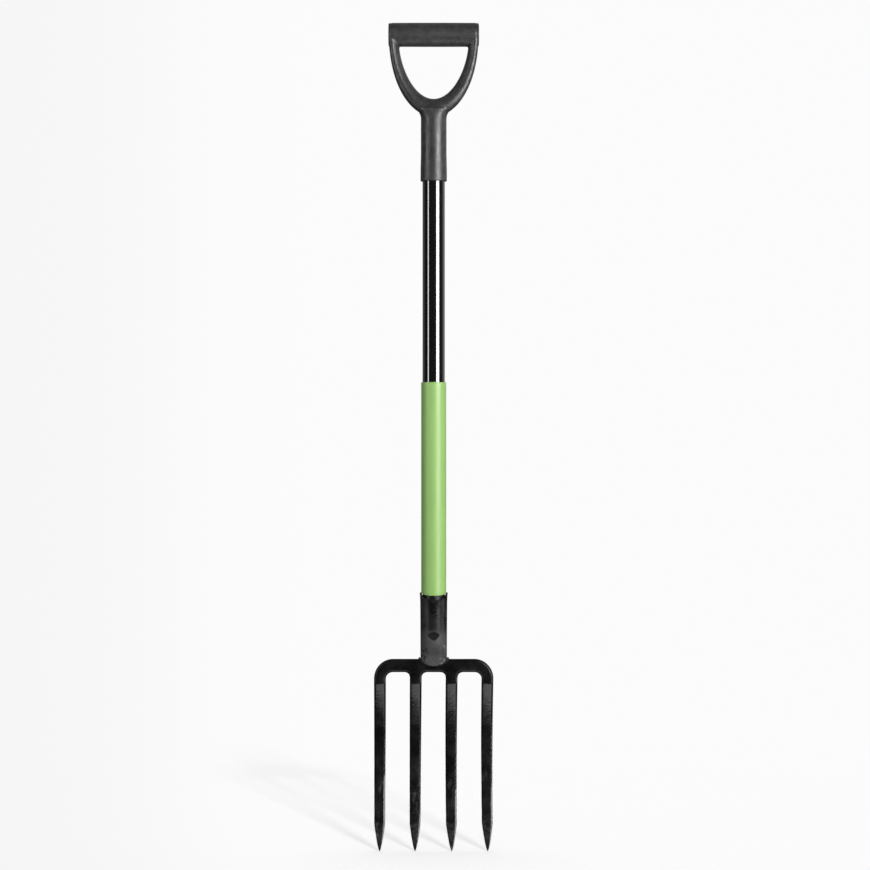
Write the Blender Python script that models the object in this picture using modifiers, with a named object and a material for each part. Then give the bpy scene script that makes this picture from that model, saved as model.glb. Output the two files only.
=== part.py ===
"""A D-handled garden fork with four tines, in metres with +Z up.

Seen from the front, which is -Y, X runs to the right. The shaft's axis is the Z axis, and the points
of the tines stand at Z = 0.
"""

import math

import bmesh
import bpy
import numpy as np

# Between pieces that touch on the real fork
CLEARANCE = 0.0003

# Fork head: flat bar stock, bent and drawn out to points
TINE_PITCH = 0.0448
TINE_LENGTH = 0.2235
TINE_WIDTH = 0.0149
TINE_WIDTH_ABOVE_POINT = 0.0140
TINE_DEPTH = 0.0090
TINE_DEPTH_ABOVE_POINT = 0.0064
POINT_LENGTH = 0.034
POINT_CURVE = 0.62
POINT_BLUNT = 0.0009
BAR_CHAMFER = 0.0022
CROSSBAR_HEIGHT = 0.0164
BEND_RADIUS = 0.0165

# Where the socket is welded on, the crossbar's chamfers are smaller
SEAT_CHAMFER = 0.0018
SEAT_RUN_OUT = 0.0020

# The tines are cranked back below the crossbar, then dished forward to their points
CRANK_DROP = 0.0135
CRANK_LENGTH = 0.070
CRANK_SET_BACK = 0.0080
CRANK_CURVE = 2.2
DISH_HEIGHT = 0.150
DISH_FORWARD = 0.0090
DISH_CURVE = 1.8

# Fillet welds at the roots of the inner tines
ROOT_WELD_LEG = 0.0060
ROOT_WELD_TOE = 0.0007

# Shaft tube
SHAFT_RADIUS = 0.0140
SHAFT_WALL = 0.0015
SHAFT_LENGTH = 0.6627
SHAFT_STANDOFF = 0.0224

# Socket, from the crossbar's top to the ears of its mouth
SOCKET_LENGTH = 0.0831
SOCKET_WALL = 0.0025
SOCKET_TAPER = 0.0003
MOUTH_FLARE = 0.0007
MOUTH_FLARE_LENGTH = 0.010
MOUTH_SCOOP = 0.0083
SCOOP_CURVE = 0.7
TONGUE_OVERLAP = 0.0083
TONGUE_CURVE = 1.6
TONGUE_RAMP = 0.0205
RAMP_EASE = 0.4
TONGUE_SQUARENESS = 3.6
TONGUE_LEDGE = 0.0004
SLIT_WIDTH = 0.0024
SLIT_HEIGHT = 0.0160
DENT_DEPTH = 0.0024
DENT_HALF_WIDTH = 0.0084
DENT_RISE = 0.0048
DENT_FALL = 0.0078
DENT_HEIGHT_ABOVE_SHAFT_END = 0.0084

# Fillet weld between the socket's tongues and the crossbar
WELD_LEG = 0.0023
WELD_TOE = 0.0004
WELD_CROWN = 0.0014

# Green sleeve
SLEEVE_WALL = 0.00135
SLEEVE_LENGTH = 0.2624
SLEEVE_SAG = 0.0037
SLEEVE_EDGE = 0.0006

# D-handle
COLLAR_RADIUS = 0.01605
COLLAR_MOUTH_RADIUS = 0.0165
COLLAR_MOUTH_LENGTH = 0.0145
COLLAR_MOUTH_CHAMFER = 0.0005
COLLAR_TAPER_LENGTH = 0.0190
COLLAR_BORE_DEPTH = 0.0887
COLLAR_FILLET_DROP = 0.0045
COLLAR_FLARE = 0.0042
COLLAR_TOP_SQUARENESS = 2.8
COLLAR_ROOF = 0.0004
COLLAR_DOME = 0.0042
HANDLE_FLOOR = 0.0142
YOKE_FLOOR = 0.0208
WINDOW_HEIGHT = 0.0655
WINDOW_HALF_WIDTH = 0.0432
WINDOW_RISE = 0.0025
WINDOW_CURVE = 1.6
ARM_WIDTH = 0.0134
ARM_TOP_DROP = 0.0010
ARM_END_RADIUS = 0.0122
ARM_RIDGE_DEPTH = 0.0142
ARM_WAIST = 0.0014
ARM_INNER_FALL = 0.0064
ARM_OUTER_FALL = 0.0028
ARM_INNER_EDGE = 0.0030
ARM_OUTER_EDGE = 0.0024
RIDGE_INSET_AT_GRIP = 0.0042
RIDGE_INSET_AT_COLLAR = 0.0096
YOKE_RISE = 0.0035
YOKE_CURVE = 2.15
GRIP_RADIUS = 0.0150
GRIP_WAIST = 0.00015
GRIP_EDGE = 0.0022
END_DISC_PROUD = 0.0003

# Cored grip bar and the plugs in its ends
PLUG_RADIUS = 0.0105
PLUG_THICKNESS = 0.0022
PLUG_EDGE = 0.0004
SPIGOT_RADIUS = 0.0086
SPIGOT_LENGTH = 0.0100
CORE_WEB = 0.0040

# Screw through the back of the collar into the shaft
SCREW_HEIGHT = 0.0400
SCREW_RADIUS = 0.0017
SCREW_LENGTH = 0.0080
SCREW_POINT = 0.0025
SCREW_HEAD_RADIUS = 0.0034
SCREW_HEAD_HEIGHT = 0.0014

# Heights that follow from the sizes above
CROSSBAR_TOP = TINE_LENGTH + CROSSBAR_HEIGHT
SOCKET_TOP = CROSSBAR_TOP + SOCKET_LENGTH
SHAFT_BOTTOM = CROSSBAR_TOP + SHAFT_STANDOFF
SHAFT_TOP = SHAFT_BOTTOM + SHAFT_LENGTH
SLEEVE_BOTTOM = SOCKET_TOP + CLEARANCE
BORE_TOP = SHAFT_TOP + CLEARANCE
COLLAR_BOTTOM = BORE_TOP - COLLAR_BORE_DEPTH
WINDOW_BOTTOM = BORE_TOP + HANDLE_FLOOR
YOKE_BOTTOM = WINDOW_BOTTOM - YOKE_FLOOR
GRIP_AXIS = WINDOW_BOTTOM + WINDOW_HEIGHT + GRIP_RADIUS

# Widths and radii that follow
BORE_RADIUS = SHAFT_RADIUS + CLEARANCE
SOCKET_RADIUS = BORE_RADIUS + SOCKET_WALL
SLEEVE_RADIUS = BORE_RADIUS + SLEEVE_WALL
YOKE_HALF_WIDTH = WINDOW_HALF_WIDTH + ARM_WIDTH
SLOT_HALF_DEPTH = TINE_DEPTH / 2 + CLEARANCE
TONGUE_HALF_DEPTH = SLOT_HALF_DEPTH + SOCKET_WALL
SEAT_HALF_WIDTH = SOCKET_RADIUS + WELD_LEG + 2 * CLEARANCE


def clear_scene():
    for obj in list(bpy.data.objects):
        bpy.data.objects.remove(obj, do_unlink=True)


def new_collection(name):
    made = bpy.data.collections.new(name)
    bpy.context.scene.collection.children.link(made)
    return made


def new_material(name, colour, roughness, metallic=0.0):
    material = bpy.data.materials.new(name)
    material.use_nodes = True
    shader = material.node_tree.nodes["Principled BSDF"]
    shader.inputs["Base Color"].default_value = (*colour, 1.0)
    shader.inputs["Roughness"].default_value = roughness
    shader.inputs["Metallic"].default_value = metallic
    return material


def add_part(name, mesh, material, location=(0.0, 0.0, 0.0)):
    """A mesh as one named sub-part of the fork."""
    obj = bpy.data.objects.new(name, mesh)
    if not mesh.materials:
        mesh.materials.append(material)
    obj.location = location
    parts.objects.link(obj)
    return obj


def add_helper(name, mesh, location=(0.0, 0.0, 0.0)):
    """A mesh that only cuts or joins other pieces."""
    obj = bpy.data.objects.new(name, mesh)
    obj.location = location
    obj.hide_render = True
    obj.display_type = "WIRE"
    cutters.objects.link(obj)
    return obj


def combine(target, other, operation):
    modifier = target.modifiers.new(operation.title() + " " + other.name, "BOOLEAN")
    modifier.operation = operation
    modifier.object = other


def mesh_from_bmesh(name, shape):
    mesh = bpy.data.meshes.new(name)
    shape.to_mesh(mesh)
    shape.free()
    return mesh


def smooth(mesh, angle=35.0):
    mesh.shade_smooth()
    mesh.set_sharp_from_angle(angle=math.radians(angle))
    return mesh


def box_mesh(name, size):
    shape = bmesh.new()
    bmesh.ops.create_cube(shape, size=1.0)
    bmesh.ops.scale(shape, vec=size, verts=shape.verts)
    return mesh_from_bmesh(name, shape)


def rod_mesh(name, radius, length, segments=32):
    shape = bmesh.new()
    bmesh.ops.create_cone(
        shape, cap_ends=True, segments=segments, radius1=radius, radius2=radius, depth=length
    )
    return mesh_from_bmesh(name, shape)


def turned_mesh(name, profile):
    """A profile of (radius, height) points, top to bottom, for a Screw modifier about Z."""
    points = [(radius, 0.0, height) for radius, height in profile]
    mesh = bpy.data.meshes.new(name)
    mesh.from_pydata(points, [(i, i + 1) for i in range(len(points) - 1)], [])
    return mesh


def turn(obj, steps=40):
    modifier = obj.modifiers.new("Turn", "SCREW")
    modifier.steps = steps
    modifier.render_steps = steps
    modifier.use_merge_vertices = True
    modifier.merge_threshold = 0.00001
    modifier.use_smooth_shade = True


def loft_mesh(name, rings, start_cap=True, end_cap=True, endless=False):
    """A surface through rings of equally many points.

    Each ring runs anticlockwise for someone who looks back along the loft, which turns the faces
    outwards. An endless loft joins its last ring to its first, as a tube with a bore needs.
    """
    rings = np.asarray(rings)
    count, around = rings.shape[:2]
    here = np.arange(count if endless else count - 1)[:, None] * around
    there = (here + around) % (count * around)
    step = np.arange(around)
    following = (step + 1) % around
    sides = np.stack([here + step, here + following, there + following, there + step], axis=-1)
    faces = sides.reshape(-1, 4).tolist()
    if start_cap and not endless:
        faces.append(list(range(around))[::-1])
    if end_cap and not endless:
        faces.append(list(range((count - 1) * around, count * around)))
    mesh = bpy.data.meshes.new(name)
    mesh.from_pydata(rings.reshape(-1, 3).tolist(), [], faces)
    return smooth(mesh)


def mirror_at_axis(obj):
    """The other half of a piece whose open edge lies in the plane X = 0."""
    modifier = obj.modifiers.new("Other half", "MIRROR")
    modifier.use_axis = (True, False, False)
    modifier.merge_threshold = 0.00001


def evenly_along(curve, count):
    """Points evenly spaced by length along a finely drawn curve."""
    steps = np.linalg.norm(np.diff(curve, axis=0), axis=1)
    travelled = np.concatenate([[0.0], np.cumsum(steps)])
    wanted = np.linspace(0.0, travelled[-1], count)
    return np.stack([np.interp(wanted, travelled, curve[:, i]) for i in range(curve.shape[1])], axis=1)


def eased(value):
    """0 to 1 with level ends, held outside that range."""
    value = np.clip(value, 0.0, 1.0)
    return value * value * (3.0 - 2.0 * value)


# Fork head


def tine_set_back(height):
    """How far behind the shaft's axis a tine's centre line lies at a height."""
    crank = np.clip((TINE_LENGTH - CRANK_DROP - height) / CRANK_LENGTH, 0.0, 1.0)
    dish = np.clip((DISH_HEIGHT - height) / DISH_HEIGHT, 0.0, 1.0)
    return CRANK_SET_BACK * (1.0 - (1.0 - crank) ** CRANK_CURVE) - DISH_FORWARD * dish**DISH_CURVE


def tine_sizes(height):
    """(width, depth, chamfer) of a tine at a height: drawn out evenly, then brought to a point."""
    along = np.clip((TINE_LENGTH - height) / (TINE_LENGTH - POINT_LENGTH), 0.0, 1.0)
    width = TINE_WIDTH + (TINE_WIDTH_ABOVE_POINT - TINE_WIDTH) * along
    depth = TINE_DEPTH + (TINE_DEPTH_ABOVE_POINT - TINE_DEPTH) * along
    point = np.clip(height / POINT_LENGTH, 0.0, 1.0) ** POINT_CURVE
    width = np.maximum(width * point, POINT_BLUNT)
    depth = np.maximum(depth * point, POINT_BLUNT)
    chamfer = np.minimum(BAR_CHAMFER, 0.3 * np.minimum(width, depth))
    return width, depth, chamfer


def bar_rings(centres, across, widths, depths, chamfers):
    """Rings of a flat bar with chamfered edges, whose width lies along across at each centre."""
    along = np.gradient(centres, axis=0)
    along /= np.linalg.norm(along, axis=1, keepdims=True)
    through = np.cross(along, across)
    half_width, half_depth = widths / 2, depths / 2
    corner_across = np.stack(
        [half_width, half_width, half_width - chamfers, chamfers - half_width], axis=1
    )
    corner_through = np.stack(
        [chamfers - half_depth, half_depth - chamfers, half_depth, half_depth], axis=1
    )
    corner_across = np.concatenate([corner_across, -corner_across], axis=1)
    corner_through = np.concatenate([corner_through, -corner_through], axis=1)
    return (
        centres[:, None]
        + across[:, None] * corner_across[:, :, None]
        + through[:, None] * corner_through[:, :, None]
    )


def tine_heights(top):
    """Heights from the point up to top, closer together in the point and in the crank."""
    point = POINT_LENGTH * np.linspace(0.0, 1.0, 9) ** 1.6
    crank_top = TINE_LENGTH - CRANK_DROP
    body = np.linspace(POINT_LENGTH, crank_top - CRANK_LENGTH, 9)[1:]
    crank = crank_top - CRANK_LENGTH * np.linspace(1.0, 0.0, 9)[1:] ** 1.5
    return np.concatenate([point, body, crank, [top]])


def outer_bow_mesh():
    """Half of the bent bar: the right outer tine, its corner and the crossbar as far as the middle."""
    bar_middle = TINE_LENGTH + CROSSBAR_HEIGHT / 2
    tine_x = 1.5 * TINE_PITCH
    heights = tine_heights(bar_middle - BEND_RADIUS)
    turned = np.radians(np.linspace(0.0, 90.0, 10))[1:]
    corner_x = tine_x - BEND_RADIUS * (1.0 - np.cos(turned))
    corner_z = bar_middle - BEND_RADIUS * (1.0 - np.sin(turned))
    bar_x = [SEAT_HALF_WIDTH + SEAT_RUN_OUT, SEAT_HALF_WIDTH, 0.0]
    x = np.concatenate([np.full(len(heights), tine_x), corner_x, bar_x])
    z = np.concatenate([heights, corner_z, np.full(len(bar_x), bar_middle)])
    centres = np.stack([x, tine_set_back(z), z], axis=1)
    angles = np.concatenate([np.zeros(len(heights)), turned, np.full(len(bar_x), math.pi / 2)])
    across = np.stack([np.cos(angles), np.zeros(len(angles)), np.sin(angles)], axis=1)
    widths, depths, chamfers = tine_sizes(np.minimum(z, TINE_LENGTH))
    chamfers[x <= SEAT_HALF_WIDTH] = SEAT_CHAMFER
    into_bar = angles / (math.pi / 2)
    widths = widths + (CROSSBAR_HEIGHT - TINE_WIDTH) * into_bar
    return loft_mesh("outer_bow", bar_rings(centres, across, widths, depths, chamfers), end_cap=False)


def inner_tine_mesh():
    z = tine_heights(TINE_LENGTH - CLEARANCE)
    centres = np.stack([np.zeros(len(z)), tine_set_back(z), z], axis=1)
    across = np.tile([1.0, 0.0, 0.0], (len(z), 1))
    return loft_mesh("inner_tine", bar_rings(centres, across, *tine_sizes(z)))


def root_weld_mesh():
    """A concave fillet in the corner between a tine's side, at X = 0, and the crossbar, at Z = 0."""
    arc = np.radians(np.linspace(90.0, 180.0, 8))
    hollow = ROOT_WELD_LEG - ROOT_WELD_TOE
    x = ROOT_WELD_LEG + hollow * np.cos(arc)
    z = hollow * np.sin(arc) - ROOT_WELD_LEG
    outline = [(0.0, 0.0), (ROOT_WELD_LEG, 0.0), *zip(x, z), (0.0, -ROOT_WELD_LEG)]
    half_depth = TINE_DEPTH / 2 - ROOT_WELD_TOE
    rings = [[(x, side * half_depth, z) for x, z in outline] for side in (-1.0, 1.0)]
    return loft_mesh("root_weld", rings)


def make_head():
    bow = add_part("outer_bow", outer_bow_mesh(), black_enamel)
    mirror_at_axis(bow)
    tine, weld = inner_tine_mesh(), root_weld_mesh()
    reach = TINE_WIDTH / 2 + CLEARANCE
    for name, side in (("left", -1.0), ("right", 1.0)):
        tine_x = side * TINE_PITCH / 2
        add_part("inner_tine_" + name, tine, black_enamel, (tine_x, 0.0, 0.0))
        for place, way in (("outer", side), ("inner", -side)):
            bead = add_part(
                "tine_weld_" + name + "_" + place,
                weld,
                black_enamel,
                (tine_x + way * reach, 0.0, TINE_LENGTH - CLEARANCE),
            )
            bead.rotation_euler.z = 0.0 if way > 0.0 else math.pi


# Tubes: shaft, socket and sleeve


def column_angles():
    """Angles round a tube, closer together in front, where the dent is pressed."""
    front = np.linspace(-130.0, -50.0, 17)
    rest = np.linspace(-50.0, 230.0, 29)[1:-1]
    return np.radians(np.concatenate([front, rest]))


def dent_depth(x, z):
    """How deep the press pushed the front in: a steep lip above, a long rounded slope below."""
    deepest = SHAFT_BOTTOM + DENT_HEIGHT_ABOVE_SHAFT_END
    above = (z - deepest) / DENT_RISE
    below = (deepest - z) / DENT_FALL
    aside = np.abs(x / DENT_HALF_WIDTH) ** 1.5
    return DENT_DEPTH * np.clip(1.0 - np.maximum(above, below) - aside, 0.0, 1.0)


def dented(points):
    """Points of a tube with the dent pressed into those in front."""
    points = np.array(points)
    in_front = points[..., 1] < 0.0
    points[..., 1] += np.where(in_front, dent_depth(points[..., 0], points[..., 2]), 0.0)
    return points


def oval_ring(half_width, half_depth, height, squareness=2.0):
    """A ring round the axis, from an ellipse (squareness 2) towards a rectangle. height may vary."""
    angle = column_angles()
    cos, sin = np.cos(angle), np.sin(angle)
    x = half_width * np.sign(cos) * np.abs(cos) ** (2.0 / squareness)
    y = half_depth * np.sign(sin) * np.abs(sin) ** (2.0 / squareness)
    return np.stack([x, y, np.broadcast_to(height, x.shape)], axis=1)


def dent_heights():
    """Heights of the rings that carry the dent, from below it to above it."""
    deepest = SHAFT_BOTTOM + DENT_HEIGHT_ABOVE_SHAFT_END
    below = np.linspace(-DENT_FALL, 0.0, 7)
    above = np.linspace(0.0, DENT_RISE, 4)[1:]
    return deepest + np.concatenate([below, above])


def make_shaft():
    heights = [SHAFT_BOTTOM, *dent_heights(), SHAFT_TOP]
    outer = [oval_ring(SHAFT_RADIUS, SHAFT_RADIUS, z) for z in heights]
    bore = SHAFT_RADIUS - SHAFT_WALL
    inner = [oval_ring(bore, bore, z) for z in heights[::-1]]
    shaft = add_part("shaft_tube", loft_mesh("shaft_tube", dented(outer + inner), endless=True), gloss_black)
    combine(shaft, screw_hole, "DIFFERENCE")


def socket_ring(height, bore=False):
    """One ring of the socket's outside or of its bore, pressed flatter as it nears the crossbar."""
    up = (height - CROSSBAR_TOP) / SOCKET_LENGTH
    radius = SOCKET_RADIUS - SOCKET_TAPER * (1.0 - np.clip(up, 0.0, 1.0))
    ramp = np.clip((CROSSBAR_TOP + TONGUE_RAMP - height) / TONGUE_RAMP, 0.0, 1.0)
    pressed = (1.0 - RAMP_EASE) * ramp + RAMP_EASE * eased(ramp)
    half_depth = radius + (TONGUE_HALF_DEPTH - radius) * pressed
    squareness = 2.0 + (TONGUE_SQUARENESS - 2.0) * pressed
    if not bore:
        return oval_ring(radius, half_depth, height, squareness)
    half_width = BORE_RADIUS + (radius - SOCKET_WALL - BORE_RADIUS) * pressed
    half_depth = BORE_RADIUS + (SLOT_HALF_DEPTH - TONGUE_LEDGE - BORE_RADIUS) * pressed
    return oval_ring(half_width, half_depth, height, squareness)


def scooped(angle, depth):
    """How far a scooped end drops at an angle: nothing at the sides, depth in front and behind."""
    return depth * np.abs(np.sin(angle)) ** SCOOP_CURVE


def mouth_rings(plain_radius):
    """Rings that spread from the plain tube to the flared, scooped mouth, lowest first."""
    angle = column_angles()
    foot = SOCKET_TOP - MOUTH_SCOOP - MOUTH_FLARE_LENGTH
    rings = []
    for part in (0.0, 0.4, 0.7, 0.9, 1.0):
        level = foot + (SOCKET_TOP - foot - scooped(angle, MOUTH_SCOOP)) * part
        radius = plain_radius + MOUTH_FLARE * part**2.5
        rings.append(oval_ring(radius, radius, level))
    return rings


def slit_mesh(length):
    """A slot with a round top end, along X, that leaves the tube's end as two tongues."""
    radius = SLIT_WIDTH / 2
    foot = CROSSBAR_TOP - SLIT_HEIGHT
    arc = np.radians(np.linspace(5.0, 175.0, 9))
    y = np.concatenate([[radius], radius * np.cos(arc), [-radius]])
    z = np.concatenate([[foot], CROSSBAR_TOP + SLIT_HEIGHT - radius + radius * np.sin(arc), [foot]])
    rings = [np.stack([np.full(len(y), x), y, z], axis=1) for x in (-length / 2, length / 2)]
    return loft_mesh("side_slit", rings)


def make_socket():
    lowest = CROSSBAR_TOP - TONGUE_OVERLAP
    ramp = CROSSBAR_TOP + TONGUE_RAMP * np.linspace(0.0, 1.0, 7)
    heights = [lowest, *ramp, *dent_heights()]
    outer = [socket_ring(z) for z in heights] + mouth_rings(SOCKET_RADIUS)
    inner = mouth_rings(BORE_RADIUS)[::-1] + [socket_ring(z, bore=True) for z in heights[::-1]]
    mesh = loft_mesh("socket", dented(outer + inner), endless=True)
    socket = add_part("socket", mesh, black_enamel)

    wide = 4 * SOCKET_RADIUS
    below = CROSSBAR_TOP + CLEARANCE - wide / 2
    slot_mesh = box_mesh("crossbar_slot", (wide, 2 * SLOT_HALF_DEPTH, wide))
    combine(socket, add_helper("crossbar_slot", slot_mesh, (0.0, 0.0, below)), "DIFFERENCE")

    trim = add_helper("tongue_trim", box_mesh("tongue_trim", (wide, wide, wide)))
    trim.location.z = below - CLEARANCE / 2
    angle = np.linspace(0.0, 2 * math.pi, 73)[:-1]
    outline = tongue_outline(angle, SOCKET_RADIUS, TONGUE_OVERLAP)
    rings = [np.insert(outline, 1, y, axis=1) for y in (wide, -wide)]
    combine(trim, add_helper("tongue_outline", loft_mesh("tongue_outline", rings)), "DIFFERENCE")
    combine(socket, trim, "DIFFERENCE")

    combine(socket, add_helper("side_slit", slit_mesh(wide)), "DIFFERENCE")


def tongue_outline(angle, half_width, overlap):
    """(x, z) round a tongue: a curve as wide as the socket whose middle lies on the crossbar's top."""
    sin, cos = np.sin(angle), np.cos(angle)
    x = half_width * np.sign(sin) * np.abs(sin) ** (2.0 / TONGUE_CURVE)
    z = CROSSBAR_TOP - overlap * np.sign(cos) * np.abs(cos) ** (2.0 / TONGUE_CURVE)
    return np.stack([x, z], axis=1)


def weld_quarter():
    """(corner, outwards, off) along the front right quarter of the socket's weld.

    The weld follows the tongue up the crossbar's face, turns over the chamfer and ends halfway
    across the top. Outwards points away from the tongue, and off points off the crossbar.
    """
    face = TINE_DEPTH / 2 + CLEARANCE
    top = CROSSBAR_TOP + CLEARANCE
    half_turn = math.tan(math.pi / 8)
    chamfer = SEAT_CHAMFER + CLEARANCE * (1.0 - half_turn)
    half_width = SOCKET_RADIUS + CLEARANCE
    fine = tongue_outline(np.linspace(0.0, math.pi / 2, 600), half_width, TONGUE_OVERLAP + CLEARANCE)
    outline = evenly_along(fine[fine[:, 1] <= top - chamfer], 14)
    corners = [(x, -face, z) for x, z in outline]
    corners += [(half_width, chamfer - face, top), (half_width, 0.0, top)]
    along = np.gradient(outline, axis=0)
    along /= np.linalg.norm(along, axis=1, keepdims=True)
    along[0], along[-1] = (1.0, 0.0), (0.0, 1.0)
    outwards = [(z, 0.0, -x) for x, z in along] + [(1.0, 0.0, 0.0)] * 2
    off = [(0.0, -1.0, 0.0)] * (len(outline) - 1)
    off += [(0.0, -1.0, half_turn), (0.0, -half_turn, 1.0), (0.0, 0.0, 1.0)]
    return np.array(corners), np.array(outwards), np.array(off)


def make_socket_weld():
    """One fillet weld round both tongues and over the crossbar on each side of the socket."""
    toe, leg, crown = WELD_TOE, WELD_LEG, WELD_CROWN
    rings = []
    for corner, outwards, off in zip(*weld_quarter()):
        section = [(0.0, 0.0), (0.0, leg), (toe, leg), (crown, crown), (leg, toe), (leg, 0.0)]
        rings.append([corner + out * outwards + up * off for out, up in section])
    quarter = np.array(rings)
    behind = quarter[-2::-1] * (1.0, -1.0, 1.0)
    right = np.concatenate([quarter, behind])
    left = right[1:-1] * (-1.0, -1.0, 1.0)
    mesh = loft_mesh("socket_weld", np.concatenate([right, left]), endless=True)
    add_part("socket_weld", mesh, black_enamel)


def make_sleeve():
    angle = column_angles()
    low = SLEEVE_BOTTOM - scooped(angle, SLEEVE_SAG)
    high = SLEEVE_BOTTOM + SLEEVE_LENGTH
    level = SLEEVE_BOTTOM + MOUTH_SCOOP
    rounded = SLEEVE_RADIUS - SLEEVE_EDGE
    outer = [
        oval_ring(rounded, rounded, low),
        oval_ring(SLEEVE_RADIUS, SLEEVE_RADIUS, low + SLEEVE_EDGE),
        oval_ring(SLEEVE_RADIUS, SLEEVE_RADIUS, level),
        oval_ring(SLEEVE_RADIUS, SLEEVE_RADIUS, high - SLEEVE_EDGE),
        oval_ring(rounded, rounded, high),
    ]
    inner = [oval_ring(BORE_RADIUS, BORE_RADIUS, height) for height in (high, level, low)]
    add_part("grip_sleeve", loft_mesh("grip_sleeve", outer + inner, endless=True), green_plastic)


# D-handle


def quarter_curve(half_width, drop, power):
    """(x, z) down a quarter of a superellipse, from its side to its lowest point."""
    turn_angle = np.linspace(0.0, math.pi / 2, 400)
    return np.stack(
        [half_width * np.cos(turn_angle), -drop * np.sin(turn_angle) ** (2.0 / power)], axis=1
    )


def arm_section(width, ridge_depth, ridge):
    """(distance from the window, depth) round an arm's section, front then back.

    The front rises from the window's edge to a ridge and falls a little to the outer edge. Both
    edges are rounded, and the back mirrors the front.
    """
    corner = 1.0 - np.cos(np.radians([0.0, 30.0, 60.0, 90.0]))
    near = ARM_INNER_EDGE * corner
    far = width - ARM_OUTER_EDGE * corner[::-1]
    middle = np.linspace(ARM_INNER_EDGE, width - ARM_OUTER_EDGE, 8)[1:-1]
    reach = np.concatenate([near, middle, far])
    inwards = np.clip((ridge - reach) / ridge, 0.0, 1.0) ** 1.5
    outwards = np.clip((reach - ridge) / (width - ridge), 0.0, 1.0) ** 2.0
    depth = ridge_depth - ARM_INNER_FALL * inwards - ARM_OUTER_FALL * outwards
    into_near = np.clip(1.0 - reach / ARM_INNER_EDGE, 0.0, 1.0)
    into_far = np.clip(1.0 - (width - reach) / ARM_OUTER_EDGE, 0.0, 1.0)
    depth = depth - ARM_INNER_EDGE * (1.0 - np.sqrt(1.0 - into_near**2))
    depth = depth - ARM_OUTER_EDGE * (1.0 - np.sqrt(1.0 - into_far**2))
    return np.concatenate([reach, reach[::-1]]), np.concatenate([-depth, depth[::-1]])


def yoke_mesh():
    """Half of the yoke, from inside the right end of the grip bar to the middle below the window."""
    window_centre = GRIP_AXIS - GRIP_RADIUS + WINDOW_RISE
    yoke_centre = GRIP_AXIS + YOKE_RISE
    window = quarter_curve(WINDOW_HALF_WIDTH, window_centre - WINDOW_BOTTOM, WINDOW_CURVE)
    outline = quarter_curve(
        YOKE_HALF_WIDTH - END_DISC_PROUD, yoke_centre - YOKE_BOTTOM, YOKE_CURVE
    )
    window[:, 1] += window_centre
    outline[:, 1] += yoke_centre
    arm_top = GRIP_AXIS - ARM_TOP_DROP
    window = np.vstack([[WINDOW_HALF_WIDTH, arm_top], window])
    outline = outline[outline[:, 1] <= arm_top]
    rings = []
    count = 26
    window, outline = evenly_along(window, count), evenly_along(outline, count)
    for i, (inside, outside) in enumerate(zip(window, outline)):
        down = i / (count - 1)
        width = np.linalg.norm(outside - inside)
        outwards = (outside - inside) / width
        ridge_depth = ARM_RIDGE_DEPTH - ARM_WAIST * math.sin(math.pi * down)
        from_outside = RIDGE_INSET_AT_GRIP + (RIDGE_INSET_AT_COLLAR - RIDGE_INSET_AT_GRIP) * eased(down)
        reach, depth = arm_section(width, ridge_depth, width - from_outside)
        x = inside[0] + outwards[0] * reach
        z = inside[1] + outwards[1] * reach
        rings.append(np.stack([x, depth, z], axis=1))
    return loft_mesh("yoke", rings, end_cap=False)


def grip_profile():
    """Half the section of the grip bar: slightly barrelled, and cored from both ends.

    Each core has a wider seat at its mouth for the plug.
    """
    half_length = YOKE_HALF_WIDTH
    seat_radius, seat_floor = PLUG_RADIUS + CLEARANCE, half_length - PLUG_THICKNESS - CLEARANCE
    core_radius, core_floor = SPIGOT_RADIUS + CLEARANCE, CORE_WEB / 2
    core = [(0.0, core_floor), (core_radius, core_floor), (core_radius, seat_floor)]
    core += [(seat_radius, seat_floor), (seat_radius, half_length)]
    corner = np.radians(np.linspace(0.0, 90.0, 5))
    radius = GRIP_RADIUS - GRIP_WAIST - GRIP_EDGE * (1.0 - np.sin(corner))
    height = half_length - GRIP_EDGE * (1.0 - np.cos(corner))
    top = core + list(zip(radius, height))
    return top + [(GRIP_RADIUS, 0.0)] + [(r, -h) for r, h in top[::-1]]


def collar_mesh():
    """The collar, flared sideways and squarer where it runs into the yoke, and domed above that."""
    taper_start = COLLAR_BOTTOM + COLLAR_MOUTH_LENGTH
    fillet_start = YOKE_BOTTOM - COLLAR_FILLET_DROP
    fillet_end = BORE_TOP + COLLAR_ROOF
    rings = []
    for height, radius in (
        (COLLAR_BOTTOM, COLLAR_MOUTH_RADIUS - COLLAR_MOUTH_CHAMFER),
        (COLLAR_BOTTOM + COLLAR_MOUTH_CHAMFER, COLLAR_MOUTH_RADIUS),
        (taper_start, COLLAR_MOUTH_RADIUS),
        (taper_start + COLLAR_TAPER_LENGTH, COLLAR_RADIUS),
        (fillet_start, COLLAR_RADIUS),
    ):
        rings.append(oval_ring(radius, radius, height))
    for up in np.linspace(0.0, 1.0, 7)[1:]:
        height = fillet_start + (fillet_end - fillet_start) * up
        half_width = COLLAR_RADIUS + COLLAR_FLARE * up**2.2
        squareness = 2.0 + (COLLAR_TOP_SQUARENESS - 2.0) * up
        rings.append(oval_ring(half_width, COLLAR_RADIUS, height, squareness))
    for turned in np.radians([20.0, 40.0, 60.0, 80.0]):
        height = fillet_end + COLLAR_DOME * math.sin(turned)
        inset = COLLAR_DOME * (1.0 - math.cos(turned))
        rings.append(
            oval_ring(half_width - inset, COLLAR_RADIUS - inset, height, COLLAR_TOP_SQUARENESS)
        )
    return loft_mesh("collar", rings)


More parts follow.
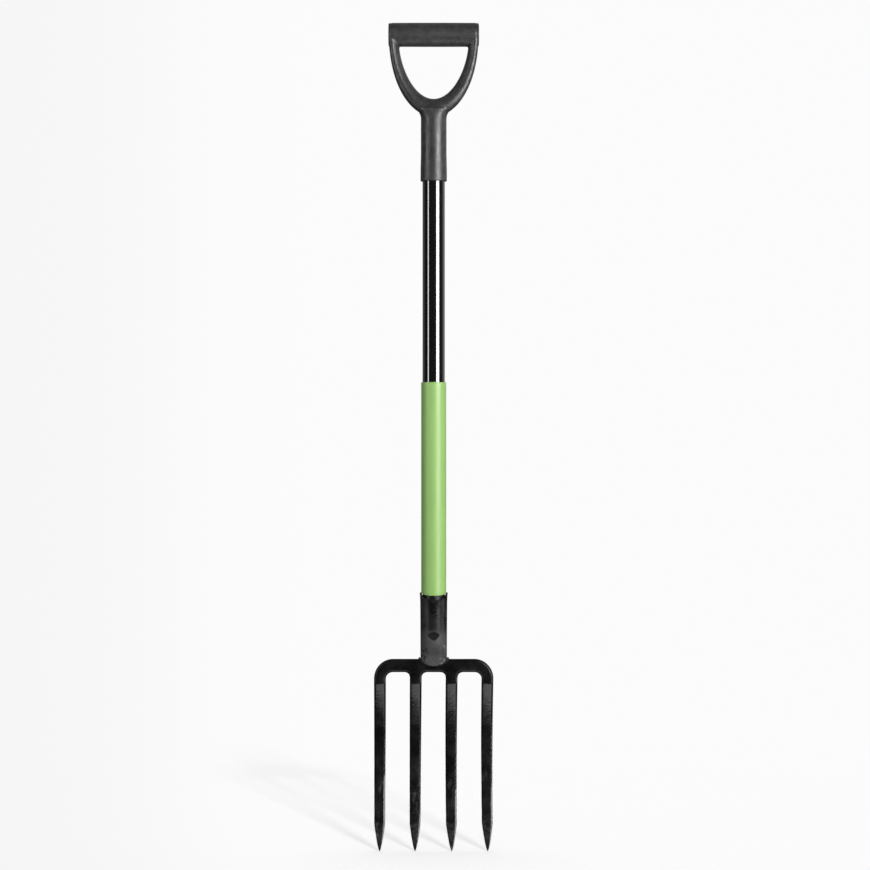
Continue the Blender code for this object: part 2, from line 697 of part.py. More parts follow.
def make_handle():
    handle = add_part("d_handle", yoke_mesh(), charcoal_plastic)
    mirror_at_axis(handle)
    inside = rod_mesh("grip_inside", ARM_END_RADIUS, 4 * YOKE_HALF_WIDTH)
    inside = add_helper("grip_inside", inside, (0.0, 0.0, GRIP_AXIS))
    inside.rotation_euler.y = math.pi / 2
    combine(handle, inside, "DIFFERENCE")
    grip = add_helper("grip_bar", turned_mesh("grip_bar", grip_profile()), (0.0, 0.0, GRIP_AXIS))
    turn(grip)
    grip.rotation_euler.y = math.pi / 2
    combine(handle, grip, "UNION")
    combine(handle, add_helper("collar", collar_mesh()), "UNION")

    bore_length = 2 * COLLAR_BORE_DEPTH
    bore = add_helper("shaft_bore", rod_mesh("shaft_bore", BORE_RADIUS, bore_length, 44))
    bore.location.z = BORE_TOP - bore_length / 2
    combine(handle, bore, "DIFFERENCE")
    combine(handle, screw_hole, "DIFFERENCE")


def make_plugs():
    """A flush disc with a spigot, pressed into each end of the grip bar."""
    profile = [
        (0.0, 0.0),
        (PLUG_RADIUS - PLUG_EDGE, 0.0),
        (PLUG_RADIUS, -PLUG_EDGE),
        (PLUG_RADIUS, -PLUG_THICKNESS),
        (SPIGOT_RADIUS, -PLUG_THICKNESS),
        (SPIGOT_RADIUS, PLUG_EDGE - SPIGOT_LENGTH),
        (SPIGOT_RADIUS - PLUG_EDGE, -SPIGOT_LENGTH),
        (0.0, -SPIGOT_LENGTH),
    ]
    mesh = turned_mesh("grip_end_plug", profile)
    for name, side in (("left", -1.0), ("right", 1.0)):
        plug = add_part("grip_end_plug_" + name, mesh, charcoal_plastic)
        turn(plug, steps=32)
        plug.location = (side * YOKE_HALF_WIDTH, 0.0, GRIP_AXIS)
        plug.rotation_euler.y = side * math.pi / 2


def make_screw():
    """A low-headed screw whose head seats on the back of the collar."""
    seat = COLLAR_RADIUS + CLEARANCE
    dome = np.radians(np.linspace(0.0, 90.0, 5))
    head = zip(SCREW_HEAD_RADIUS * np.sin(dome), SCREW_HEAD_HEIGHT * np.cos(dome))
    shank = [(SCREW_RADIUS, 0.0), (SCREW_RADIUS, SCREW_POINT - SCREW_LENGTH), (0.0, -SCREW_LENGTH)]
    profile = [*head, *shank]
    screw = add_part("handle_screw", turned_mesh("handle_screw", profile), zinc)
    turn(screw, steps=20)
    screw.location = (0.0, seat, COLLAR_BOTTOM + SCREW_HEIGHT)
    screw.rotation_euler.x = -math.pi / 2


clear_scene()
parts = new_collection("garden_fork")
cutters = new_collection("cutters")
charcoal_plastic = new_material("charcoal_plastic", (0.045, 0.046, 0.047), 0.55)
gloss_black = new_material("gloss_black_coating", (0.010, 0.010, 0.011), 0.18)
black_enamel = new_material("black_enamel", (0.014, 0.014, 0.015), 0.38)
green_plastic = new_material("green_plastic", (0.30, 0.56, 0.17), 0.35)
zinc = new_material("zinc_plated_steel", (0.55, 0.56, 0.58), 0.35, 1.0)

screw_hole = add_helper("screw_hole", rod_mesh("screw_hole", SCREW_RADIUS + CLEARANCE, 2 * SHAFT_RADIUS, 20))
screw_hole.location = (0.0, 1.5 * SHAFT_RADIUS, COLLAR_BOTTOM + SCREW_HEIGHT)
screw_hole.rotation_euler.x = math.pi / 2

make_head()
make_shaft()
make_socket()
make_socket_weld()
make_sleeve()
make_handle()
make_plugs()
make_screw()
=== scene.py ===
"""The looks of a D-handled digging fork with four tines, in metres, seen from -Y with +Z up."""

import math

import bmesh
import bpy
import numpy as np
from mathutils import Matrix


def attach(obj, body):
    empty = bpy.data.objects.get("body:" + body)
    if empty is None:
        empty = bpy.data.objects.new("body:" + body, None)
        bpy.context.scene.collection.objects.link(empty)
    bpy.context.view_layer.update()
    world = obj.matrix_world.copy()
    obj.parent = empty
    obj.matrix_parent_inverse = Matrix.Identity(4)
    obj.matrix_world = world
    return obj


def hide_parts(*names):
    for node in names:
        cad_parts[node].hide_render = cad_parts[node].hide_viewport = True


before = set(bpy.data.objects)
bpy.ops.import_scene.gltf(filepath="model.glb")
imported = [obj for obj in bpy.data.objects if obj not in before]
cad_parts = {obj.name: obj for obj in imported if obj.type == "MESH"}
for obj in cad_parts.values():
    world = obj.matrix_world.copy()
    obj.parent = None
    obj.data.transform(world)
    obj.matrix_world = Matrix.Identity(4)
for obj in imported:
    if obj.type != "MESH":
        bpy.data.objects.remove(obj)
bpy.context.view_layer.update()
scene = bpy.context.scene
scene.view_settings.view_transform = "Standard"


# Camera: level with the middle of the fork, and so far away that the fork is seen almost flat.
# The width of the view is measured where the fork stands.

VIEW_DISTANCE = 3.6
VIEW_HEIGHT = 0.5198
VIEW_ACROSS = 0.0016
VIEW_WIDTH = 1.0875

camera = bpy.data.objects.new("camera", bpy.data.cameras.new("camera"))
camera.data.sensor_width = 36.0
camera.data.lens = camera.data.sensor_width * VIEW_DISTANCE / VIEW_WIDTH
camera.data.clip_end = 60.0
camera.location = (VIEW_ACROSS, -VIEW_DISTANCE, VIEW_HEIGHT)
camera.rotation_euler = (math.pi / 2, 0.0, 0.0)
scene.collection.objects.link(camera)
scene.camera = camera


# Floor: a wide sheet of white paper. It keeps the fork's shadow near the tines and fades to the
# plain white of the surroundings further out. Gloss mirrors only a strip of it before the fork.

WHITE_SEEN = 0.972
WHITE_AT_LEFT = 0.925
DIM_TO_THE_LEFT = (-0.04, -0.14)
DIM_AHEAD = (0.80, 0.95)
PAPER_WHITE = 0.86
PAPER_SEEN_WHITE = 1.9
PAPER_LIT = 0.6570
PAPER_LIT_RIGHT = 0.0159
PAPER_LIT_RIGHT_BACK = -0.0082
PAPER_LIT_BACK = -0.0601
PAPER_LIT_FAR_BACK = 0.0118
PAPER_FADE = (0.80, 1.50)
PAPER_MIRRORED = 2.3
STRIP_FRONT = (-0.47, -0.37)
STRIP_FRONT_SLANT = 0.4
STRIP_BACK = (-0.27, -0.22)
STRIP_BACK_LEFT_OVER = 0.07
STRIP_SIDE = (0.57, 0.42)


def add_node(tree, kind, settings=(), inputs=()):
    """One shader node. Inputs are (name or index, value or output socket) pairs."""
    made = tree.nodes.new(kind)
    for name, value in dict(settings).items():
        setattr(made, name, value)
    for key, value in dict(inputs).items():
        if isinstance(value, bpy.types.NodeSocket):
            tree.links.new(value, made.inputs[key])
        else:
            made.inputs[key].default_value = value
    return made


def add_math(tree, operation, *values, clamp=False):
    """The output of one Math node."""
    settings = {"operation": operation, "use_clamp": clamp}
    return add_node(tree, "ShaderNodeMath", settings, enumerate(values)).outputs[0]


def multiply(tree, *values):
    """The product of two or more values."""
    product = values[0]
    for value in values[1:]:
        product = add_math(tree, "MULTIPLY", product, value)
    return product


def add_vector_math(tree, operation, *values):
    """The outputs of one Vector Math node."""
    settings = {"operation": operation}
    return add_node(tree, "ShaderNodeVectorMath", settings, enumerate(values)).outputs


def add_ramp(tree, value, low, high, to_low=0.0, to_high=1.0, kind="SMOOTHSTEP"):
    """Value carried from the range low..high to the range to_low..to_high, and held outside it."""
    inputs = {"Value": value, "From Min": low, "From Max": high}
    inputs.update({"To Min": to_low, "To Max": to_high})
    settings = {"interpolation_type": kind}
    return add_node(tree, "ShaderNodeMapRange", settings, inputs).outputs["Result"]


def object_place(tree):
    """Where a point lies on the object, in metres, as a vector."""
    return add_node(tree, "ShaderNodeTexCoord").outputs["Object"]


def split(tree, vector):
    """The x, y and z of a vector."""
    return add_node(tree, "ShaderNodeSeparateXYZ", inputs={0: vector}).outputs


def grey(value):
    """A neutral colour."""
    return (value, value, value, 1.0)


def mix_shaders(tree, share, *shaders):
    """A shader that fades into another, or into black where only one is given."""
    return add_node(tree, "ShaderNodeMixShader", inputs=enumerate((share, *shaders))).outputs[0]


def empty_material(name):
    """(material, its node tree, its output node), with no shader yet."""
    material = bpy.data.materials.new(name)
    material.use_nodes = True
    material.node_tree.nodes.clear()
    return material, material.node_tree, add_node(material.node_tree, "ShaderNodeOutputMaterial")


def add_object(name, mesh, material=None):
    """An object in the scene that shows the mesh, in the material if one is given."""
    made = bpy.data.objects.new(name, mesh)
    scene.collection.objects.link(made)
    if material is not None:
        mesh.materials.clear()
        mesh.materials.append(material)
    return made


def white_towards(tree, x, y):
    """The white seen in a level direction, a little darker ahead of the camera on the left."""
    dim = multiply(tree, add_ramp(tree, x, *DIM_TO_THE_LEFT), add_ramp(tree, y, *DIM_AHEAD))
    return add_math(tree, "MULTIPLY_ADD", dim, WHITE_AT_LEFT - WHITE_SEEN, WHITE_SEEN)


paper, tree, out = empty_material("white_paper")
place = object_place(tree)
path = add_node(tree, "ShaderNodeLightPath").outputs
x, y, z = split(tree, place)
fade = add_ramp(tree, add_vector_math(tree, "LENGTH", place)["Value"], *PAPER_FADE)
from_camera = add_vector_math(tree, "ADD", place, (0.0, VIEW_DISTANCE, 0.0))[0]
towards = split(tree, add_vector_math(tree, "NORMALIZE", from_camera)[0])
plain_white = white_towards(tree, towards[0], towards[1])

# The camera sees the lit paper topped up to the plain white, so only the fork's shadow shows.
lit_right = add_math(tree, "MULTIPLY_ADD", y, PAPER_LIT_RIGHT_BACK, PAPER_LIT_RIGHT)
lit_back = add_math(tree, "MULTIPLY_ADD", y, PAPER_LIT_FAR_BACK, PAPER_LIT_BACK)
lit = add_math(tree, "MULTIPLY_ADD", x, lit_right, PAPER_LIT)
lit = add_math(tree, "MULTIPLY_ADD", y, lit_back, lit)
lit = multiply(tree, lit, add_math(tree, "SUBTRACT", 1.0, fade))
topped_up = add_math(tree, "SUBTRACT", plain_white, lit)
white = add_node(tree, "ShaderNodeEmission", inputs={"Strength": topped_up}).outputs[0]
bright = {"Color": grey(PAPER_SEEN_WHITE)}
lit_paper = add_node(tree, "ShaderNodeBsdfDiffuse", inputs=bright).outputs[0]
lit_paper = mix_shaders(tree, fade, lit_paper)
seen = add_node(tree, "ShaderNodeAddShader", inputs={0: white, 1: lit_paper}).outputs[0]

# What gloss mirrors is a bright strip with soft edges, and little of the paper behind it.
slanted = add_math(tree, "MULTIPLY_ADD", x, STRIP_FRONT_SLANT, y)
strip = multiply(
    tree,
    add_ramp(tree, slanted, *STRIP_FRONT, 0.0, PAPER_MIRRORED),
    add_ramp(tree, y, *STRIP_BACK, 1.0, STRIP_BACK_LEFT_OVER),
    add_ramp(tree, add_math(tree, "ABSOLUTE", x), *STRIP_SIDE),
)
mirrored = add_node(tree, "ShaderNodeEmission", inputs={"Strength": strip}).outputs[0]
matt = add_node(tree, "ShaderNodeBsdfDiffuse", inputs={"Color": grey(PAPER_WHITE)}).outputs[0]
look = mix_shaders(tree, path["Is Glossy Ray"], matt, mirrored)
look = mix_shaders(tree, path["Is Camera Ray"], look, seen)
tree.links.new(look, out.inputs["Surface"])

shape = bmesh.new()
bmesh.ops.create_circle(shape, cap_ends=True, segments=96, radius=24.0)
floor_mesh = bpy.data.meshes.new("floor")
shape.to_mesh(floor_mesh)
shape.free()
floor = add_object("floor", floor_mesh, paper)


# Surroundings: white behind the fork and dark before it, as in a studio with a white backdrop.
# Gloss mirrors more of it on the right. Matt surfaces get a weak fill, mostly from behind.

MIRRORED_LEFT_TO_RIGHT = (-0.30, 0.30, 0.18, 0.50)
MIRRORED_FRONT_TO_BACK = (-0.05, 0.55, 0.02, 1.0)
FILL_FRONT_TO_BACK = (-0.60, 0.60, 0.12, 0.42)

world = bpy.data.worlds.new("studio")
world.use_nodes = True
scene.world = world
tree = world.node_tree
tree.nodes.clear()
path = add_node(tree, "ShaderNodeLightPath").outputs
x, y, z = split(tree, add_node(tree, "ShaderNodeTexCoord").outputs["Generated"])
mirrored = multiply(
    tree,
    path["Is Glossy Ray"],
    add_ramp(tree, x, *MIRRORED_LEFT_TO_RIGHT),
    add_ramp(tree, y, *MIRRORED_FRONT_TO_BACK),
)
not_gloss = add_math(tree, "SUBTRACT", 1.0, path["Is Glossy Ray"])
fill = multiply(tree, not_gloss, add_ramp(tree, y, *FILL_FRONT_TO_BACK))
seen = add_math(tree, "MAXIMUM", path["Is Camera Ray"], path["Is Transmission Ray"])
not_seen = add_math(tree, "SUBTRACT", 1.0, seen)
unseen = multiply(tree, add_math(tree, "ADD", fill, mirrored), not_seen)
strength = add_math(tree, "MULTIPLY_ADD", seen, white_towards(tree, x, y), unseen)
sky = add_node(tree, "ShaderNodeBackground", inputs={"Color": grey(1.0), "Strength": strength})
tree.links.new(sky.outputs[0], add_node(tree, "ShaderNodeOutputWorld").inputs["Surface"])


# Lamps: a large soft box to the right, a narrow one to the left, a small spot in front, and a low
# card that is only mirrored in the edges of the tines. The soft boxes are kept off the floor, so
# that only the spot draws a shadow on it.

kept_off = bpy.data.collections.new("kept_off_the_floor")
kept_off.objects.link(floor)
kept_off.collection_objects[0].light_linking.link_state = "EXCLUDE"

for name, turn, height, distance, size, strength, lights, mirrored in (
    ("soft_box_right", 42.0, 0.97, 2.3, (1.20, 1.05), 14.0, True, True),
    ("soft_box_left", -58.0, 0.95, 2.4, (0.44, 1.2), 7.0, True, True),
    ("low_card_right", 86.0, 0.040, 1.8, (0.60, 0.08), 12.0, False, True),
    ("spot_front", 15.0, 1.80, 6.0, (0.56, 0.32), 190.0, True, False),
):
    lamp = bpy.data.lights.new(name, "AREA")
    lamp.shape = "RECTANGLE"
    lamp.size, lamp.size_y = size
    lamp.energy = strength * math.pi * size[0] * size[1]
    made = bpy.data.objects.new(name, lamp)
    turn = math.radians(turn)
    made.location = (distance * math.sin(turn), -distance * math.cos(turn), height)
    made.rotation_euler = (math.pi / 2, 0.0, turn)
    made.visible_camera = False
    made.visible_diffuse = lights
    made.visible_glossy = mirrored
    scene.collection.objects.link(made)
    if name.startswith("soft_box"):
        made.light_linking.receiver_collection = kept_off


# Outer bow: one flat steel bar with bevelled edges, bent at both corners of the fork, drawn out
# along the tines and ground to points. It is dipped in black enamel, which wears off the edges.
# The pale strip up each right edge is that wear, and also a painted highlight.

TINE_PITCH = 0.0448
TINE_LENGTH = 0.2235
TINE_WIDTH = 0.01486
TINE_WIDTH_ABOVE_POINT = 0.0140
TINE_DEPTH = 0.0090
TINE_DEPTH_ABOVE_POINT = 0.0064
POINT_LENGTH = 0.034
POINT_CURVE = 0.62
POINT_BLUNT = 0.0009
POINT_FORWARD = 0.45
BAR_CHAMFER = 0.0022
BAR_SOFTNESS = 0.0007
BAR_CROWN = 0.00014
CROWN_SHARE = 0.03
CROSSBAR_HEIGHT = 0.0164
CROSSBAR_TOP = TINE_LENGTH + CROSSBAR_HEIGHT
BEND_RADIUS = 0.0165
CRANK_DROP = 0.0135
CRANK_LENGTH = 0.070
CRANK_SET_BACK = 0.0080
CRANK_CURVE = 2.2
DISH_HEIGHT = 0.150
DISH_FORWARD = 0.0090
DISH_CURVE = 1.8
HAMMERED = 0.00010
NICKS = 0.00022
HAMMERED_BELOW = 0.150
HAMMERED_FADE = 0.06
HAMMERED_ABOVE = 0.012
DENT_RATES = (95.0, 210.0, 430.0)
NICK_RATES = (900.0, 1550.0, 2300.0)
BARE_HIGHLIT_FADE = 0.035
BARE_HIGHLIT_FROM = 0.45
BARE_HIGHLIT_EDGE = 0.3
BARE_HIGHLIT_TOP_LEFT = 0.110
BARE_HIGHLIT_TOP_RIGHT = 0.098
ROOT_WELD_LEG = 0.0060


def shaded(mesh, sharp=35.0):
    """The mesh, smooth apart from the edges where it turns by more than sharp degrees."""
    mesh.shade_smooth()
    mesh.set_sharp_from_angle(angle=math.radians(sharp))
    return mesh


def loft(name, rings, endless=False):
    """A closed skin over a grid of rings, each a row of points round the piece.

    Ring i, point j is joined to its neighbours on the grid. An endless loft joins its last ring to
    its first, and any other is closed with a flat face at each end.
    """
    rings = np.asarray(rings, float)
    count, around = rings.shape[:2]
    here = np.arange(count if endless else count - 1)[:, None] * around
    there = (here + around) % (count * around)
    step = np.arange(around)
    following = (step + 1) % around
    faces = np.stack([here + step, here + following, there + following, there + step], axis=-1)
    faces = faces.reshape(-1, 4).tolist()
    if not endless:
        faces.append(list(range(around))[::-1])
        faces.append(list(range((count - 1) * around, count * around)))
    mesh = bpy.data.meshes.new(name)
    mesh.from_pydata(rings.reshape(-1, 3).tolist(), [], faces)
    return shaded(mesh, 40.0)


def add_piece(name, mesh, material, slot, *nodes):
    """A finished piece that stands for the given CAD nodes."""
    piece = add_object(name, mesh, material)
    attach(piece, "root")
    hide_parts(*nodes)
    return piece


def tine_set_back(height):
    """How far behind the shaft a tine lies: cranked back near the top, dished forward below."""
    crank = np.clip((TINE_LENGTH - CRANK_DROP - height) / CRANK_LENGTH, 0.0, 1.0)
    dish = np.clip((DISH_HEIGHT - height) / DISH_HEIGHT, 0.0, 1.0)
    return CRANK_SET_BACK * (1.0 - (1.0 - crank) ** CRANK_CURVE) - DISH_FORWARD * dish**DISH_CURVE


def tine_sizes(height):
    """(width, depth, chamfer) of a tine at a height: an even taper, then a point."""
    along = np.clip((TINE_LENGTH - height) / (TINE_LENGTH - POINT_LENGTH), 0.0, 1.0)
    width = TINE_WIDTH + (TINE_WIDTH_ABOVE_POINT - TINE_WIDTH) * along
    depth = TINE_DEPTH + (TINE_DEPTH_ABOVE_POINT - TINE_DEPTH) * along
    point = np.clip(height / POINT_LENGTH, 0.0, 1.0) ** POINT_CURVE
    width = np.maximum(width * point, POINT_BLUNT)
    depth = np.maximum(depth * point, POINT_BLUNT)
    return width, depth, np.minimum(BAR_CHAMFER, 0.3 * np.minimum(width, depth))


def chamfer_by_root(away):
    """The bevel beside a root weld, by the distance from the corner that the weld fills.

    The bevel's inner edge turns the corner as an arc, so little of it is left in the corner itself.
    """
    inside = np.clip(ROOT_WELD_LEG - away, 0.0, ROOT_WELD_LEG)
    left = np.sqrt((ROOT_WELD_LEG + BAR_CHAMFER) ** 2 - inside**2) - ROOT_WELD_LEG
    return np.clip(left, 0.0002, BAR_CHAMFER)


def bar_rings(centres, across, widths, depths, outer_chamfers, inner_chamfers):
    """Rings of a bevelled flat bar round its centre line, slightly crowned on its two wide faces.

    Each of the eight corners is softened. It becomes three points: one before it, one drawn
    halfway in, and one after it. A crown point stands in the middle of each wide face, after
    the third corner and after the seventh. Across points to the bar's outer side.
    """
    along = np.gradient(centres, axis=0)
    along /= np.linalg.norm(along, axis=1, keepdims=True)
    through = np.cross(along, across)
    w, d = widths / 2, depths / 2
    c, i = outer_chamfers, inner_chamfers
    face = d - np.minimum(BAR_CROWN, CROWN_SHARE * d)
    corner = np.stack([w, w, w - c, i - w, -w, -w, i - w, w - c], axis=1)
    height = np.stack([c - d, d - c, face, face, d - i, i - d, -face, -face], axis=1)
    corners = np.stack([corner, height], axis=2)
    back, ahead = np.roll(corners, 1, axis=1) - corners, np.roll(corners, -1, axis=1) - corners
    soft = []
    for edge in (back, ahead):
        length = np.linalg.norm(edge, axis=2, keepdims=True)
        soft.append(corners + edge / length * np.minimum(BAR_SOFTNESS, 0.35 * length))
    middle = (soft[0] + 2 * corners + soft[1]) / 4
    outline = np.stack([soft[0], middle, soft[1]], axis=2).reshape(len(w), -1, 2)
    crown = np.stack([(i - c) / 2, d], axis=1)[:, None]
    first, between, last = np.split(outline, [3 * 3, 3 * 7], axis=1)
    parts = [first, crown, between, crown * (1.0, -1.0), last]
    outline = np.concatenate(parts, axis=1)
    return (
        centres[:, None]
        + across[:, None] * outline[:, :, :1]
        + through[:, None] * outline[:, :, 1:]
    )


def waves(height, rates, random):
    """Sines of the height, one for each rate, that start anywhere, added up."""
    starts = random.uniform(0, 6.28, len(rates))
    return sum(np.sin(height * rate + start) for rate, start in zip(rates, starts))


def hammered(rings, middle, seed):
    """The rings with slow dents from the hammer and, low down on the right, nicks in the edge."""
    random = np.random.RandomState(seed)
    height = rings[..., 2]
    low = np.clip((HAMMERED_BELOW - height) / HAMMERED_FADE, 0.0, 1.0)
    low = low * np.clip(height / HAMMERED_ABOVE, 0.0, 1.0)
    side = np.clip((rings[..., 0] - middle) / (TINE_WIDTH / 2), -1.0, 1.0)
    slow = waves(height, DENT_RATES, random)
    quick = waves(height, NICK_RATES, random)
    nicks = np.clip(side, 0.0, 1.0) ** 3 * np.clip(0.4 + quick / 2, 0.0, 2.0)
    moved = rings.copy()
    moved[..., 0] -= (side * HAMMERED * (1.0 + slow / 3) + nicks * NICKS) * low
    return moved


def tine_heights(top):
    """Heights from the point up to top, closer together in the point."""
    point = POINT_LENGTH * np.linspace(0.0, 1.0, 34) ** 1.4
    return np.concatenate([point, np.linspace(POINT_LENGTH, top, 200)[1:]])


def tine_path(x, heights, lean, bow):
    """A tine's centre line. It leans and bows sideways a little, as each was drawn out by hand."""
    down = np.clip(1.0 - heights / TINE_LENGTH, 0.0, 1.0)
    aside = x + lean * down + bow * np.sin(math.pi * down)
    thinner = TINE_DEPTH_ABOVE_POINT - tine_sizes(heights)[1]
    forward = POINT_FORWARD * np.maximum(thinner, 0.0) / 2
    return np.stack([aside, tine_set_back(heights) - forward, heights], axis=1)


def mark_bare_highlit_edge(mesh, rings, middle, bare_highlit_top):
    """Painted highlight and wear: a pale strip up the tine's right edge that fades towards its top.
    """
    narrowed = np.clip(rings[..., 2] / POINT_LENGTH, 0.05, 1.0) ** POINT_CURVE
    side = (rings[..., 0] - middle) / (TINE_WIDTH / 2 * narrowed)
    bare_and_highlit = np.clip((bare_highlit_top - rings[..., 2]) / BARE_HIGHLIT_FADE, 0.0, 1.0) ** 0.7
    bare_and_highlit = bare_and_highlit * np.clip((side - BARE_HIGHLIT_FROM) / BARE_HIGHLIT_EDGE, 0.0, 1.0)
    mesh.attributes.new("bare_and_highlit", "FLOAT", "POINT").data.foreach_set("value", bare_and_highlit.ravel())


def in_plane(x, z):
    """Points at the middle of the bar's depth."""
    return np.stack([x, np.zeros(len(x)), np.broadcast_to(z, x.shape)], axis=1)


bar_middle = TINE_LENGTH + CROSSBAR_HEIGHT / 2
tine_x = 1.5 * TINE_PITCH
turned = np.radians(np.linspace(0.0, 90.0, 28))[1:]
bend_x = tine_x - BEND_RADIUS * (1.0 - np.cos(turned))
bend_z = bar_middle - BEND_RADIUS * (1.0 - np.sin(turned))
crossbar_x = np.linspace(tine_x - BEND_RADIUS, 0.0, 90)[1:]
heights = tine_heights(bar_middle - BEND_RADIUS)
halves = []
for side, lean, bow in ((-1.0, -0.0004, 0.0), (1.0, 0.0003, -0.0009)):
    leg = tine_path(side * tine_x, heights, lean, bow)
    bend = in_plane(side * bend_x, bend_z)
    halves.append(np.concatenate([leg, bend, in_plane(side * crossbar_x, bar_middle)]))
angle = np.concatenate([np.zeros(len(heights)), turned, np.full(len(crossbar_x), math.pi / 2)])
centres = np.concatenate([halves[1], halves[0][-2::-1]])
angle = np.concatenate([angle, math.pi - angle[-2::-1]])
across = in_plane(np.cos(angle), np.sin(angle))
widths, depths, chamfers = tine_sizes(np.minimum(centres[:, 2], TINE_LENGTH))
widths = widths + (CROSSBAR_HEIGHT - TINE_WIDTH) * np.sin(angle) ** 2
from_root = np.abs(np.abs(centres[:, 0]) - TINE_PITCH / 2) - TINE_WIDTH / 2
in_crossbar = np.sin(angle) > 0.99
inner_chamfers = np.where(in_crossbar, chamfer_by_root(from_root), chamfers)
rings = bar_rings(centres, across, widths, depths, chamfers, inner_chamfers)
on_right = (centres[:, 0] > 0.0)[:, None]
middle = np.repeat(centres[:, :1], rings.shape[1], axis=1)
rings = np.where(on_right[..., None], hammered(rings, middle, 4), hammered(rings, middle, 1))
bow_mesh = loft("outer_bow_forged", rings)
mark_bare_highlit_edge(bow_mesh, rings, middle, np.where(on_right, BARE_HIGHLIT_TOP_RIGHT, BARE_HIGHLIT_TOP_LEFT))


def new_group(name, inputs, outputs):
    """(group tree, its input node, its output node) with float sockets."""
    group = bpy.data.node_groups.new(name, "ShaderNodeTree")
    for socket, default in inputs.items():
        made = group.interface.new_socket(socket, in_out="INPUT", socket_type="NodeSocketFloat")
        made.default_value = default
    for socket in outputs:
        group.interface.new_socket(socket, in_out="OUTPUT", socket_type="NodeSocketFloat")
    return group, group.nodes.new("NodeGroupInput"), group.nodes.new("NodeGroupOutput")


def add_group(tree, group, inputs):
    """The outputs of a shader node group that is placed in a material."""
    return add_node(tree, "ShaderNodeGroup", {"node_tree": group}, inputs).outputs


def noise(tree, place, scale, detail=3.0, roughness=0.55):
    """The value of a Noise texture with features about 1 / scale metres across."""
    inputs = {"Vector": place, "Scale": scale, "Detail": detail, "Roughness": roughness}
    return add_node(tree, "ShaderNodeTexNoise", inputs=inputs).outputs["Fac"]


# Chipped: 1 where a coat is rubbed off. Broad patches decide where, and fine grains how ragged.
chipped, given, given_back = new_group(
    "chipped", {"Patch Scale": 60.0, "Grain Scale": 900.0, "Amount": 0.5}, ["Mask"]
)
place = object_place(chipped)
patches = noise(chipped, place, given.outputs["Patch Scale"], 2.0)
grains = noise(chipped, place, given.outputs["Grain Scale"], 4.0, 0.7)
both = add_math(chipped, "MULTIPLY_ADD", grains, 0.6, patches)
limit = add_math(chipped, "MULTIPLY_ADD", given.outputs["Amount"], -0.6, 1.30)
over = add_math(chipped, "SUBTRACT", both, limit)
mask = add_math(chipped, "MULTIPLY", over, 9.0, clamp=True)
chipped.links.new(mask, given_back.inputs["Mask"])

# Coat skin: the slow waves of a coat that flowed before it hardened, and the dust caught in it.
coat_skin, given, given_back = new_group(
    "coat_skin", {"Wave Scale": 500.0, "Dust Scale": 2600.0, "Dust": 0.3}, ["Height"]
)
place = object_place(coat_skin)
flowed = noise(coat_skin, place, given.outputs["Wave Scale"], 1.0)
dust = add_ramp(coat_skin, noise(coat_skin, place, given.outputs["Dust Scale"], 2.0), 0.62, 0.75)
relief = add_math(coat_skin, "MULTIPLY_ADD", dust, given.outputs["Dust"], flowed)
coat_skin.links.new(relief, given_back.inputs["Height"])


def mix_colour(tree, share, low, high):
    """A colour between low and high."""
    settings = {"data_type": "RGBA"}
    inputs = {0: share, 6: low, 7: high}
    return add_node(tree, "ShaderNodeMix", settings, inputs).outputs[2]


def add_bump(tree, height, strength, distance):
    """The normal of a surface with the given relief."""
    inputs = {"Strength": strength, "Distance": distance, "Height": height}
    return add_node(tree, "ShaderNodeBump", inputs=inputs).outputs[0]


def add_principled(tree, out, colour, roughness, normal, more):
    """The material's own shader, with more inputs by name, linked to its output."""
    inputs = {"Base Color": colour, "Roughness": roughness, "Normal": normal, **more}
    shader = add_node(tree, "ShaderNodeBsdfPrincipled", inputs=inputs)
    tree.links.new(shader.outputs[0], out.inputs["Surface"])


ENAMEL_BLACK = 0.0060
SCUFFED = 0.06
RUBBED_BELOW = (0.115, 0.020)
SMEARED_BELOW = (0.108, 0.092)
SMEARED_ABOVE = (0.036, 0.050)
SMEARS_DRAWN_OUT = (1.0, 1.0, 0.3)
SHINY_BELOW = (0.040, 0.030)
BEND_FROM = (0.054, 0.062)
BEND_ABOVE = (0.207, 0.214)
BEVEL_TURNED = (0.985, 0.940)
RUBBED_GREY = (0.066, 0.064, 0.062, 1.0)
SMEARED_GREY = (0.072, 0.070, 0.067, 1.0)
BARE_STEEL_HIGHLIT = (0.210, 0.205, 0.197, 1.0)


